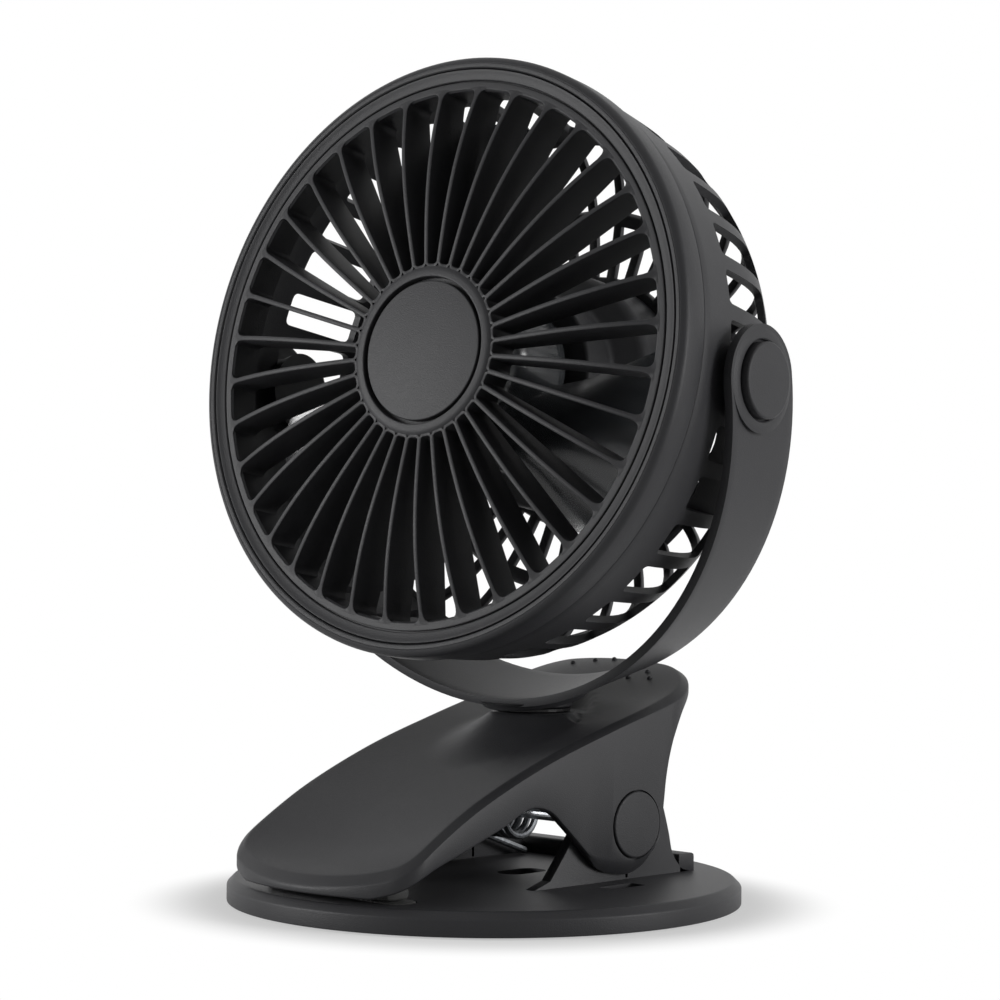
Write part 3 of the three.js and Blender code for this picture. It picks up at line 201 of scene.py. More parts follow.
def turned(name, profile, steps=120):
    """Spins a profile of (radius, height) round the Z axis."""
    points = [(r, 0, z) for r, z in profile]
    if profile[0][0] > 0 or profile[-1][0] > 0:
        points.append(points[0])
    piece = start_drawing(name, points[0])
    draw_on(points)
    bpy.ops.mesh.select_all(action="SELECT")
    bpy.ops.mesh.spin(steps=steps, angle=2 * math.pi, center=(0, 0, 0), axis=(0, 0, 1))
    welded()
    closed_up()
    return piece


def plate(name, outline, base, step):
    """Draws a closed outline on a base, which maps (u, v) to a point, and thickens it by a step."""
    points = [base(u, v) for u, v in outline]
    piece = start_drawing(name, points[0])
    draw_on(points)
    bpy.ops.mesh.select_all(action="SELECT")
    bpy.ops.mesh.edge_face_add()
    bpy.ops.mesh.extrude_region_move(TRANSFORM_OT_translate={"value": step})
    closed_up()
    return piece


def eased(points, radii, steps=4):
    """Rounds the corners of a line of points, where radii gives {index: radius}."""
    made = []
    for i, point in enumerate(points):
        corner = Vector(point)
        if i not in radii:
            made.append(tuple(corner))
            continue
        ends = []
        for near in (points[i - 1], points[(i + 1) % len(points)]):
            away = Vector(near) - corner
            ends.append(corner + away.normalized() * min(radii[i], away.length * 0.49))
        for k in range(steps + 1):
            t = k / steps
            bend = ends[0] * (1 - t) ** 2 + corner * 2 * t * (1 - t) + ends[1] * t ** 2
            made.append(tuple(bend))
    return made


def through(points, steps=10):
    """A smooth line through points."""
    made = []
    for i in range(len(points) - 1):
        a, b, c, d = [Vector(points[min(max(i + k, 0), len(points) - 1)]) for k in (-1, 0, 1, 2)]
        for k in range(steps):
            t = k / steps
            made.append((b + ((c - a) * t + (2 * a - 5 * b + 4 * c - d) * t * t
                              + (3 * b - a - 3 * c + d) * t ** 3) / 2).to_tuple())
    return made + [tuple(points[-1])]


def modified(piece, kind, **settings):
    """Adds a modifier and applies it."""
    bpy.context.view_layer.objects.active = piece
    modifier = piece.modifiers.new(kind.lower(), kind)
    for name, setting in settings.items():
        setattr(modifier, name, setting)
    bpy.ops.object.modifier_apply(modifier=modifier.name)


def softened(piece, width, segments=2, angle=40):
    modified(piece, "BEVEL", width=width, segments=segments, limit_method="ANGLE",
             angle_limit=math.radians(angle), use_clamp_overlap=True)


def cut_by(piece, cutter):
    modified(piece, "BOOLEAN", operation="DIFFERENCE", solver="EXACT", object=cutter)
    bpy.data.objects.remove(cutter)


def joined(*pieces):
    bpy.ops.object.select_all(action="DESELECT")
    for piece in pieces:
        piece.select_set(True)
    bpy.context.view_layer.objects.active = pieces[0]
    bpy.ops.object.join()
    return pieces[0]


def moved(x, y, z):
    return Matrix.Translation((x, y, z))


def rotated(degrees, axis):
    return Matrix.Rotation(math.radians(degrees), 4, axis)


def settled(piece, place=None):
    """Shades a piece smooth and brings it from millimetres in its own frame into place."""
    bpy.ops.object.select_all(action="DESELECT")
    piece.select_set(True)
    bpy.context.view_layer.objects.active = piece
    bpy.ops.object.shade_smooth_by_angle(angle=math.radians(30))
    piece.matrix_world = Matrix.Scale(MILLIMETRE, 4) @ (place or Matrix.Identity(4))
    bpy.ops.object.transform_apply(location=True, rotation=True, scale=True)
    return piece


def fitted(piece, body, slot, material, *replaced):
    """Gives a piece its material, its CAD body and the CAD nodes that it stands for."""
    piece.data.materials.clear()
    piece.data.materials.append(material)
    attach(piece, body)
    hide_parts(*replaced)


def new_material(name):
    """A material with its node tree, its shader and the place on the object."""
    material = bpy.data.materials.new(name)
    material.use_nodes = True
    tree = material.node_tree
    place = add_node(tree, "ShaderNodeTexCoord").outputs["Object"]
    return material, tree, tree.nodes["Principled BSDF"], place


def two_shades(tree, shader, share, colour, other):
    """Mixes two colours into the base colour."""
    shades = add_node(tree, "ShaderNodeMix", {"data_type": "RGBA"}, links={0: share})
    shades.inputs[6].default_value = linear(colour)
    shades.inputs[7].default_value = linear(other)
    tree.links.new(shades.outputs[2], shader.inputs["Base Color"])


def moulded_plastic(name, colour, worn_colour, roughness, grain, bump):
    """Moulded plastic with a fine spark-eroded texture: matt, faintly uneven in sheen."""
    material, tree, shader, place = new_material(name)
    texture = add_node(tree, "ShaderNodeTexNoise",
                       values={"Scale": 1 / (grain * MILLIMETRE), "Detail": 2.0, "Roughness": 0.6},
                       links={"Vector": place})
    cloud = add_node(tree, "ShaderNodeTexNoise", values={"Scale": 55.0, "Detail": 4.0},
                     links={"Vector": place})
    tint = add_node(tree, "ShaderNodeMapRange", values={"From Min": 0.35, "From Max": 0.7},
                    links={"Value": cloud.outputs[0]})
    two_shades(tree, shader, tint.outputs[0], colour, worn_colour)
    sheen = add_node(tree, "ShaderNodeMapRange",
                     values={"From Min": 0.3, "From Max": 0.7, "To Min": roughness - 0.04,
                             "To Max": roughness + 0.05},
                     links={"Value": texture.outputs[0]})
    relief = add_node(tree, "ShaderNodeBump", values={"Strength": bump, "Distance": 0.00012},
                      links={"Height": texture.outputs[0]})
    tree.links.new(sheen.outputs[0], shader.inputs["Roughness"])
    tree.links.new(relief.outputs[0], shader.inputs["Normal"])
    shader.inputs["IOR"].default_value = 1.28
    return material


# ABS from a spark-eroded mould: matt charcoal with a soft sheen, set to mirror little at
# grazing angles. The real grain is about 0.05 mm and is drawn at 0.3 mm so that it shows.
charcoal_abs = moulded_plastic("charcoal_abs_spark_textured", "#29292B", "#2D2D2F", 0.46, 0.3, 0.5)

foot_profile = eased(
    [(0, 3.0), (56.1, 3.0), (56.1, 0.4), (FOOT_RADIUS, 0.4), (FOOT_RADIUS, 4.3), (58.9, FOOT_TOP),
     (0, FOOT_TOP)],
    {3: 0.3, 4: 0.35, 5: 0.45})
foot_disc = turned("foot_shell", foot_profile, 192)

CHEEK_OUTER, CHEEK_INNER = 27.2, 24.2
cheek_line = [(-11.2, 3.6), (-11.2, FOOT_TOP), *through([
    (-5.7, 7.7), (-1.2, 13.1), (3.3, 18.9), (8.4, 25.3), (20.0, 32.5), (29.8, 28.0),
    (32.6, 23.0), (35.0, 16.0), (36.4, 11.0), (39.4, 7.4), (44.5, FOOT_TOP)], 8), (44.5, 3.6)]
cheeks = []
for side in (-1, 1):
    cheek = plate("cheek", cheek_line, lambda y, z: (side * CHEEK_INNER, y, z),
                  (side * (CHEEK_OUTER - CHEEK_INNER), 0, 0))
    softened(cheek, 0.5)
    # the moulding is slit below the pin so that the cheek can spring over it
    bpy.ops.mesh.primitive_cube_add(size=1)
    slit = bpy.context.object
    slit.data.transform(moved(side * 25.7, HINGE_Y, 12.6) @ Matrix.Diagonal((5, 0.8, 12.6, 1)))
    cut_by(cheek, slit)
    cheeks.append(cheek)
stop_bar = plate("stop_bar", eased([(38.6, 5), (38.6, 10.2), (44.2, 10.2), (44.2, 5)], {1: 0.6, 2: 0.9}),
                 lambda y, z: (-CHEEK_OUTER, y, z), (2 * CHEEK_OUTER, 0, 0))
softened(stop_bar, 0.4)


def rounded_slot(length, width, corner):
    """Outline of a rounded rectangle about the origin."""
    u, v = length / 2, width / 2
    return eased([(-u, -v), (u, -v), (u, v), (-u, v)], dict.fromkeys(range(4), corner), 5)


PAD_Y, PAD_LENGTH, PAD_WIDTH = -46.0, 46.0, 8.0
pad_seat = plate("pad_seat", rounded_slot(PAD_LENGTH + 0.6, PAD_WIDTH + 0.6, 4.0),
                 lambda x, y: (x, PAD_Y + y, FOOT_TOP - 1.2), (0, 0, 4))
cut_by(foot_disc, pad_seat)
# an oval well for the foot end of the spring
spring_well = plate("spring_well", rounded_slot(7.5, 13.0, 3.7),
                    lambda x, y: (1.5 + x, 11.0 + y, FOOT_TOP - 1.6), (0, 0, 4))
cut_by(foot_disc, spring_well)
# and a shallow slot beside the right cheek
side_slot = plate("side_slot", rounded_slot(4.6, 11.0, 0.5),
                  lambda x, y: (35.0 + x, 10.0 + y, FOOT_TOP - 1.4), (0, 0, 4))
cut_by(foot_disc, side_slot)
fitted(settled(joined(foot_disc, stop_bar, *cheeks)), "foot body", "charcoal_plastic",
       charcoal_abs, "foot")

# ---------------------------------------------------------------- pads, mat and weight of the foot
# Both jaws carry a strip of soft black rubber glued into a shallow seat. Under the foot a
# ribbed rubber mat holds in the steel weight.


def ribbed_rubber(name, colour, pitch, axis, bump):
    """Soft moulded rubber: nearly black, dull, with fine ribs across it and dust in its pores."""
    material, tree, shader, place = new_material(name)
    ribs = add_node(tree, "ShaderNodeTexWave",
                    {"wave_type": "BANDS", "bands_direction": axis},
                    {"Scale": 0.3142 / (pitch * MILLIMETRE)}, {"Vector": place})
    pores = add_node(tree, "ShaderNodeTexNoise", values={"Scale": 2500.0, "Detail": 2.0},
                     links={"Vector": place})
    height = add_node(tree, "ShaderNodeMath", {"operation": "MULTIPLY_ADD"}, {1: 0.25},
                      {0: pores.outputs[0], 2: ribs.outputs[1]})
    relief = add_node(tree, "ShaderNodeBump", values={"Strength": bump, "Distance": 0.0003},
                      links={"Height": height.outputs[0]})
    two_shades(tree, shader, pores.outputs[0], colour, "#2A2A29")
    tree.links.new(relief.outputs[0], shader.inputs["Normal"])
    shader.inputs["Roughness"].default_value = 0.8
    shader.inputs["IOR"].default_value = 1.52
    return material


# silicone rubber, moulded with ribs that keep it from slipping
black_rubber = ribbed_rubber("black_rubber_ribbed", "#161616", 1.6, "X", 0.6)

foot_strip = plate("foot_pad_strip", rounded_slot(PAD_LENGTH, PAD_WIDTH, 3.8),
                   lambda x, y: (x, PAD_Y + y, FOOT_TOP - 0.9), (0, 0, 1.1))
softened(foot_strip, 0.3)
fitted(settled(foot_strip), "foot body", "black_rubber", black_rubber, "foot_jaw_pad")

lever_strip = plate("lever_pad_strip", rounded_slot(PAD_LENGTH - 4, PAD_WIDTH, 3.6),
                    lambda x, y: (x, PAD_Y - 0.5 + y, FOOT_TOP + 0.6), (0, 0, 2.2))
softened(lever_strip, 0.5, 3)
fitted(settled(lever_strip), "lever body", "black_rubber", black_rubber, "lever_jaw_pad")

sole = turned("sole_mat", eased(
    [(0, 0), (9.2, 0), (9.2, 0.3), (10.4, 0.3), (10.4, 0), (55.8, 0), (55.8, 1.6), (0, 1.6)],
    {5: 0.7, 6: 0.2}), 144)
fitted(settled(sole), "foot body", "black_rubber", black_rubber, "foot_mat")


def drawn_steel(name, colour, roughness, stretch):
    """Bright metal with the faint lines that turning, drawing or rolling leaves on it."""
    material, tree, shader, place = new_material(name)
    drawn_out = add_node(tree, "ShaderNodeMapping", links={"Vector": place})
    drawn_out.inputs["Scale"].default_value = stretch
    lines = add_node(tree, "ShaderNodeTexNoise", values={"Scale": 1.0, "Detail": 3.0},
                     links={"Vector": drawn_out.outputs[0]})
    two_shades(tree, shader, lines.outputs[0], colour, "#8F9296")
    sheen = add_node(tree, "ShaderNodeMapRange",
                     values={"To Min": roughness - 0.08, "To Max": roughness + 0.12},
                     links={"Value": lines.outputs[0]})
    tree.links.new(sheen.outputs[0], shader.inputs["Roughness"])
    shader.inputs["Metallic"].default_value = 1.0
    return material


# zinc-plated steel: cool bright grey, with lines along X as the pins lie
bright_steel = drawn_steel("zinc_plated_steel", "#C4C6C9", 0.3, (400, 4000, 4000))
brass = drawn_steel("turned_brass", "#C9A860", 0.32, (3000, 3000, 900))


def keep(node, material):
    """A CAD node that stays as it is, with the real material on it."""
    nodes[node].data.materials.clear()
    nodes[node].data.materials.append(material)


keep("foot_weight", bright_steel)

# ---------------------------------------------------------------- hinge pin, caps and clip spring
# A steel pin joins the lever's cheeks to the foot's. Flat charcoal caps cover its ends, and
# a torsion spring wound from 1.7 mm music wire sits round it, one leg on each jaw.
LEVER_HALF_WIDTH = 30.3
HINGE_CAP_RADIUS = 7.8
keep("hinge_pin", bright_steel)
for side, node in ((1, "hinge_cap_right"), (-1, "hinge_cap_left")):
    cap = turned("pin_" + node, eased(
        [(0, 29.5), (HINGE_CAP_RADIUS, 29.5), (HINGE_CAP_RADIUS, 30.7), (0, 30.7)], {2: 0.55}, 5), 96)
    place = moved(0, HINGE_Y, HINGE_Z) @ rotated(90 * side, "Y")
    fitted(settled(cap, place), "lever body", "charcoal_plastic", charcoal_abs, node)

WIRE, COIL_RADIUS, COIL_PITCH = 1.7, 6.2, 2.6
COIL_MIDDLE = -14.0
COIL_START, COIL_SWEEP = math.radians(-110), 5 * 2 * math.pi + math.radians(100)
LEG_TO_FOOT, LEG_TO_LEVER = 18.0, 16.6
coil_width = COIL_PITCH * COIL_SWEEP / (2 * math.pi)


def on_coil(turn):
    a = COIL_START - turn
    return Vector((COIL_MIDDLE + coil_width * (turn / COIL_SWEEP - 0.5),
                   HINGE_Y + COIL_RADIUS * math.cos(a), HINGE_Z + COIL_RADIUS * math.sin(a)))


def along_coil(turn):
    a = COIL_START - turn
    return Vector((0, math.sin(a), -math.cos(a)))


coil_steps = 150
wire_line = [on_coil(0) - along_coil(0) * LEG_TO_FOOT * (1 - k / 6) for k in range(6)]
wire_line += [on_coil(COIL_SWEEP * k / coil_steps) for k in range(coil_steps + 1)]
wire_line += [on_coil(COIL_SWEEP) + along_coil(COIL_SWEEP) * LEG_TO_LEVER * k / 6 for k in range(1, 7)]
wire_curve = bpy.data.curves.new("clip_spring_wire", "CURVE")
wire_curve.dimensions = "3D"
wire_curve.bevel_depth = WIRE / 2
wire_curve.bevel_resolution = 3
wire_curve.use_fill_caps = True
wire_spline = wire_curve.splines.new("POLY")
wire_spline.points.add(len(wire_line) - 1)
for point, at in zip(wire_spline.points, wire_line):
    point.co = (*at, 1)
wire = bpy.data.objects.new("clip_spring_wire", wire_curve)
bpy.context.scene.collection.objects.link(wire)
bpy.ops.object.select_all(action="DESELECT")
wire.select_set(True)
bpy.context.view_layer.objects.active = wire
bpy.ops.object.convert(target="MESH")
wire = bpy.context.object
# music wire: patented and drawn, darker than the plated pins
music_wire = drawn_steel("music_wire_oiled", "#3C3D3F", 0.42, (1200, 1200, 1200))
settled(wire)
wire.data.materials.clear()
wire.data.materials.append(music_wire)
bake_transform(wire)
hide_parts("clip_spring")

# ---------------------------------------------------------------- jaw lever
# The upper jaw and thumb lever: one hollow ABS moulding with a dished top, a bevelled rim,
# two hinge cheeks and a swell under the yoke's seat. Its nose follows the edge of the foot.
LEVER_WALL = 2.3
TIP_RADIUS = 59.9
NOSE_CORNER = 8.0
REAR_Y, REAR_CORNER = 48.0, 16.0
DISH, CROWN = 3.0, 3.0
rim_line = through([(-62, 9.6), (-54, 13.8), (-44, 20.6), (-30, 28.2), (-10, 36.2), (12, 42.8),
                    (32, 48.2), (52, 54.6)], 12)
skirt_line = through([
    (-56, 7.6), (-47, 13), (-36, 17), (-24, 21.4), (-15.7, 24.9), (-9.2, 24.0), (-4.2, 20.2),
    (1.6, 15.1), (7.8, 9.8), (13.6, 8.0), (19.6, 7.5), (25.4, 10.0), (28.3, 14.5), (29.5, 22.9),
    (30.3, 28.8), (31.7, 34.6), (33.5, 39.2), (36.8, 44.3), (41, 47.4), (45.5, 49.0),
    (49.5, 49.8)], 8)


def height_on(line, y):
    for (y0, z0), (y1, z1) in zip(line, line[1:]):
        if y0 <= y <= y1 and y1 > y0:
            return z0 + (z1 - z0) * (y - y0) / (y1 - y0)
    return line[0][1] if y < line[0][0] else line[-1][1]


def eased_step(value, low, high):
    t = min(max((value - low) / (high - low), 0), 1)
    return t * t * (3 - 2 * t)


SWIVEL_Y, SWIVEL_Z = 16.3, 45.2
SEAT_TOP, SEAT_RADIUS, SEAT_WALL = 43.9, 13.0, 1.4
SWELL_START, SWELL_SLOPE, SWELL_BLEND = 10.4, 0.75, 3.0


def lever_top(x, y):
    """Height of the dished top, which swells up softly to the yoke's seat."""
    across = 1 - min(1, (x / LEVER_HALF_WIDTH) ** 2)
    to_rear = eased_step(y, 18, REAR_Y - 4)
    to_nose = eased_step(y, -TIP_RADIUS, -TIP_RADIUS + 16)
    plain = height_on(rim_line, y) + across * (CROWN * to_rear - DISH * to_nose * (1 - to_rear))
    from_seat = math.hypot(x, y - SWIVEL_Y)
    swell = SEAT_TOP - SWELL_SLOPE * max(0, from_seat - SWELL_START)
    blend = max(0, SWELL_BLEND - abs(swell - plain)) ** 2 / (4 * SWELL_BLEND)
    raised = max(plain, swell) + blend * (y < SWIVEL_Y)
    # the rear of the seat is sunk into the rising top
    return min(raised, SEAT_TOP + SEAT_WALL * max(0, from_seat - SEAT_RADIUS))


def lever_outline():
    """Stations round the lever's plan, each a point and its outward direction."""
    corner_x = LEVER_HALF_WIDTH - NOSE_CORNER
    corner_y = -math.sqrt((TIP_RADIUS - NOSE_CORNER) ** 2 - corner_x ** 2)
    nose = math.atan2(corner_y, corner_x)
    half = []
    for k in range(28):
        a = -math.pi / 2 + (nose + math.pi / 2) * k / 28
        out = Vector((math.cos(a), math.sin(a)))
        half.append((out * TIP_RADIUS, out))
    for k in range(14):
        a = nose * (1 - k / 14)
        out = Vector((math.cos(a), math.sin(a)))
        half.append((Vector((corner_x, corner_y)) + out * NOSE_CORNER, out))
    ahead = [y for y, _ in skirt_line if corner_y <= y < REAR_Y - REAR_CORNER]
    for y in ahead:
        half.append((Vector((LEVER_HALF_WIDTH, y)), Vector((1, 0))))
    behind = [math.asin((y - REAR_Y + REAR_CORNER) / REAR_CORNER) for y, _ in skirt_line
              if REAR_Y - REAR_CORNER <= y < 41]
    behind += [behind[-1] + (math.pi / 2 - behind[-1]) * k / 14 for k in range(1, 15)]
    for a in behind:
        out = Vector((math.cos(a), math.sin(a)))
        centre = Vector((LEVER_HALF_WIDTH - REAR_CORNER, REAR_Y - REAR_CORNER))
        half.append((centre + out * REAR_CORNER, out))
    for k in range(1, 10):
        half.append((Vector(((LEVER_HALF_WIDTH - REAR_CORNER) * (1 - k / 10), REAR_Y)), Vector((0, 1))))
    other = [(Vector((-p.x, p.y)), Vector((-n.x, n.y))) for p, n in reversed(half[1:])]
    return half + [(Vector((0, REAR_Y)), Vector((0, 1)))] + other


def shaped_grid(name, across, along, shape):
    """A grid whose vertices are moved to shape(i, j); its seam and its poles are merged."""
    bpy.ops.object.select_all(action="DESELECT")
    bpy.ops.mesh.primitive_grid_add(x_subdivisions=across, y_subdivisions=along, size=2)
    piece = bpy.context.object
    piece.name = name
    for vertex in piece.data.vertices:
        i = round((vertex.co.x + 1) / 2 * across)
        j = round((vertex.co.y + 1) / 2 * along)
        vertex.co = shape(i % across, j)
    to_edit()
    welded()
    closed_up()
    return piece


stations = lever_outline()
# rows of the shell from the middle of its top, over the rim, down and up again inside:
# (distance in from the outline, drop below the top) or a level above the skirt's edge
RIM_BAND = 4.2
rim_rows = [(3.4, 0.0), (2.5, 0.0), (2.1, 0.03), (1.8, 0.14), (0.28, 1.36), (0.08, 1.6),
            (0.0, 1.95)]
hem_rows = [(0.0, 0.75), (0.1, 0.3), (0.45, 0.0), (1.9, 0.0), (LEVER_WALL, 0.3)]
spine_steps = 18


def spine(y):
    """The point of the lever's middle line that a station's row starts from."""
    return Vector((0, min(max(y, -38), 30)))


def lever_row(i, j):
    point, out = stations[i]
    hem = height_on(skirt_line, max(point.y, -56))
    if j <= spine_steps:
        edge = point - out * RIM_BAND
        middle = spine(edge.y)
        at = middle + (edge - middle) * (j / spine_steps)
        return Vector((at.x, at.y, lever_top(at.x, at.y)))
    j -= spine_steps + 1
    if j < len(rim_rows):
        inset, drop = rim_rows[j]
        at = point - out * inset
        return Vector((at.x, at.y, lever_top(at.x, at.y) - drop))
    j -= len(rim_rows)
    if j < len(hem_rows):
        inset, rise = hem_rows[j]
        # the round end of each cheek has a broader bevel
        broad = eased_step(point.y, 3, 10) * (1 - eased_step(point.y, 26, 30))
        if j < 3:
            inset, rise = inset + 1.5 * broad * j / 2, rise * (1 + 3.4 * broad)
        at = point - out * inset
        return Vector((at.x, at.y, hem + rise))
    j -= len(hem_rows)
    inner = point - out * LEVER_WALL
    if j == 0:
        return Vector((inner.x, inner.y, max(lever_top(inner.x, inner.y) - LEVER_WALL - 0.4, hem + 0.4)))
    edge = point - out * (LEVER_WALL + 0.6)
    middle = spine(edge.y)
    at = middle + (edge - middle) * (1 - (j - 1) / spine_steps)
    return Vector((at.x, at.y, lever_top(at.x, at.y) - LEVER_WALL))


lever_rows = spine_steps + len(rim_rows) + len(hem_rows) + spine_steps + 2
lever = shaped_grid("lever_shell", len(stations), lever_rows, lever_row)
for side in (-1, 1):
    bpy.ops.mesh.primitive_cylinder_add(vertices=96, radius=HINGE_CAP_RADIUS + 0.35, depth=3,
                                        location=(side * (LEVER_HALF_WIDTH + 0.5), HINGE_Y, HINGE_Z),
                                        rotation=(0, math.pi / 2, 0))
    cut_by(lever, bpy.context.object)

turret = turned("turret", eased(
    [(5.4, -9), (10.2, -9), (10.2, -1.6), (9.8, -1.2), (5.4, -1.2)], {2: 0.3}), 96)
turret.data.transform(moved(0, SWIVEL_Y, SWIVEL_Z))
# two groups of three dots, moulded on for the thumb
grip_places = [(-12.1, 42.6), (-5.8, 44.0), (-0.3, 45.0), (11.0, 37.7), (14.4, 41.0), (17.2, 38.6)]
grips = []
for x, y in grip_places:
    bpy.ops.mesh.primitive_uv_sphere_add(segments=20, ring_count=10, radius=0.65,
                                         location=(x, y, lever_top(x, y)))
    bpy.ops.object.transform_apply(location=True, rotation=False, scale=False)
    grips.append(bpy.context.object)
fitted(settled(joined(lever, turret, *grips)), "lever body", "charcoal_plastic", charcoal_abs, "lever")

# ---------------------------------------------------------------- swivel
# The yoke's post passes through the turret and is held from below by a steel plate and a
# screw; an acetal washer takes the rub.
black_acetal = moulded_plastic("black_acetal_washer", "#1A1A1B", "#212122", 0.4, 0.3, 0.15)
keep("swivel_washer", black_acetal)
keep("swivel_plate", bright_steel)
keep("swivel_screw", bright_steel)

# ---------------------------------------------------------------- yoke
# One ABS strap, a half oval with round ends, that leans forward from its foot on the
# turret. Its edges are bevelled, and each end is sunk round the tilt cap.
YOKE_HALF_WIDTH, YOKE_THICKNESS, YOKE_WIDTH = 71.2, 2.0, 25.0
YOKE_OVAL = 75.1
YOKE_STAND = 2.8
SWIVEL_TURN, YOKE_LEAN = 7.2, 11.1
PIVOT_HEIGHT = 74.8
YOKE_END_RISE = 12.6
TILT_CAP_RADIUS, TILT_CAP_PROUD = 8.6, 1.9
on_seat = moved(0, SWIVEL_Y, SWIVEL_Z) @ rotated(SWIVEL_TURN, "Z")
on_arms = on_seat @ moved(0, 0, YOKE_STAND) @ rotated(YOKE_LEAN, "X")
strap_across = 10
half_strap = YOKE_WIDTH / 2
oval_top = YOKE_THICKNESS + YOKE_OVAL
strap_top = PIVOT_HEIGHT + YOKE_END_RISE
cap_steps = [math.radians(88 - 88 * k / 14) for k in range(15)]
oval_steps = [math.radians(90 * k / 44) for k in range(45)]


def strap_side(height, outward):
    """Half width of the oval at a height, on the strap's inside or outside."""
    w = YOKE_HALF_WIDTH + outward
    if height >= oval_top:
        return w
    return w * math.sqrt(max(0, 1 - ((height - oval_top) / (YOKE_OVAL + outward)) ** 2))


# rows of the round end, as height and half width, and of the oval below it, as angles
strap_tips = [(strap_top - half_strap + half_strap * math.sin(a), half_strap * math.cos(a))
              for a in cap_steps]
strap_bend = [a for a in oval_steps
              if oval_top - (YOKE_OVAL + 1) * math.sin(a) < strap_top - half_strap - 1]


def strap_point(row, outward):
    """Middle line of the strap in the X-Z plane and its half width there."""
    count = len(strap_tips) + len(strap_bend)
    side = 1 if row < count else -1
    k = row if row < count else 2 * count - 2 - row
    if k < len(strap_tips):
        height, half = strap_tips[k]
        return side * strap_side(height, outward), height, half
    a = strap_bend[k - len(strap_tips)]
    w, h = YOKE_HALF_WIDTH + outward, YOKE_OVAL + outward
    return side * w * math.cos(a), oval_top - h * math.sin(a), half_strap


strap_count = 2 * (len(strap_tips) + len(strap_bend)) - 2


def close_open_ends():
    """Caps a tube's two open ends, and stays in edit mode."""
    to_edit("DESELECT")
    bpy.ops.mesh.select_mode(type="EDGE")
    bpy.ops.mesh.select_non_manifold(extend=False)
    bpy.ops.mesh.edge_face_add()


def strap_vertex(i, j):
    """i runs round the strap's section, inside then outside; j runs from end to end."""
    inside = i <= strap_across
    k = i if inside else 2 * strap_across + 1 - i
    x, z, half = strap_point(j, 0 if inside else YOKE_THICKNESS)
    return Vector((x, half * (2 * k / strap_across - 1), z))


strap = shaped_grid("yoke_strap", 2 * strap_across + 2, strap_count, strap_vertex)
close_open_ends()
closed_up()
softened(strap, 0.55, 3, 50)


def across_strap(piece, side):
    """Turns a piece drawn along Z to lie along X, at the tilt axis of one arm."""
    piece.data.transform(moved(0, 0, PIVOT_HEIGHT) @ rotated(90 * side, "Y"))
    return piece


yoke_outer = YOKE_HALF_WIDTH + YOKE_THICKNESS
halos = []
for side in (-1, 1):
    cut_by(strap, across_strap(turned("seat", [
        (0, yoke_outer - 0.9), (TILT_CAP_RADIUS + 0.5, yoke_outer - 0.9),
        (TILT_CAP_RADIUS + 0.5, yoke_outer + 2), (0, yoke_outer + 2)], 96), side))
    halos.append(across_strap(turned("halo", [
        (TILT_CAP_RADIUS + 0.5, yoke_outer - 0.4), (TILT_CAP_RADIUS + 0.5, yoke_outer + 0.12),
        (TILT_CAP_RADIUS + 0.8, yoke_outer + 0.32), (TILT_CAP_RADIUS + 1.5, yoke_outer + 0.34),
        (TILT_CAP_RADIUS + 2.4, yoke_outer + 0.16), (TILT_CAP_RADIUS + 3.2, yoke_outer - 0.04),
        (TILT_CAP_RADIUS + 3.2, yoke_outer - 0.4)], 96), side))
lean_back = rotated(-YOKE_LEAN, "X") @ moved(0, 0, -YOKE_STAND)
yoke_foot = turned("yoke_foot", eased([(0, -1.1), (12.6, -1.1), (13.2, 0), (14.2, 0.9), (0, 0.9)],
                                      {1: 0.5, 2: 0.6}), 96)
yoke_neck = turned("yoke_neck", [(0, 0), (8.9, 0), (9.2, 0.3), (9.2, 3), (0, 3)], 72)
yoke_neck.data.transform(lean_back)
yoke_post = turned("yoke_post", [(0, -7.6), (4.6, -7.6), (5, -7.2), (5, 1), (0, 1)], 48)
yoke_post.data.transform(lean_back)
fitted(settled(joined(strap, yoke_foot, yoke_neck, yoke_post, *halos), on_arms), "yoke body",
       "charcoal_plastic", charcoal_abs, "yoke")

# ---------------------------------------------------------------- tilt caps, bolts and washers
# A flat round cap hides the steel bolt that each arm turns on; an acetal washer keeps the arm
# off the drum's boss.
for side, end in ((1, "right"), (-1, "left")):
    x0, x1 = yoke_outer - 0.5, yoke_outer + TILT_CAP_PROUD
    cap = turned("arm_cap_" + end, eased(
        [(0, x0), (TILT_CAP_RADIUS, x0), (TILT_CAP_RADIUS, x1), (0, x1)], {2: 0.6}, 5), 96)
    fitted(settled(across_strap(cap, side), on_arms), "yoke body", "charcoal_plastic",
           charcoal_abs, "tilt_cap_" + end)
    keep("tilt_bolt_" + end, bright_steel)
    keep("tilt_washer_" + end, black_acetal)

# ---------------------------------------------------------------- drum
# The head's barrel, one ABS moulding: a rounded front rim with a parting groove behind it, a
# wall that rounds over towards the back, slots between 36 ribs, and a boss for each arm.
PIVOT_DEPTH, PIVOT_DROP = 25.3, 2.7
HEAD_TILT = 19.9
on_fan = (on_arms @ moved(0, 0, PIVOT_HEIGHT)
          @ rotated(90 - HEAD_TILT, "X")
          @ moved(0, PIVOT_DROP, PIVOT_DEPTH))
RIM_RADIUS = 70.0
SHOULDER, ROUNDING, ROUND_POWER, TAPER = 17.2, 42.7, 3.64, 0.088
DRUM_WALL = 2.0
SEAM_DEPTH = 42.3
SLOT_FRONT, SLOT_REAR = 19.0, 40.5
PITCH = 10.0


def drum_radius(depth):
    s = min(max((depth - SHOULDER) / ROUNDING, 0), 1)
    return (RIM_RADIUS - TAPER * depth) * (1 - s ** ROUND_POWER) ** (1 / ROUND_POWER)


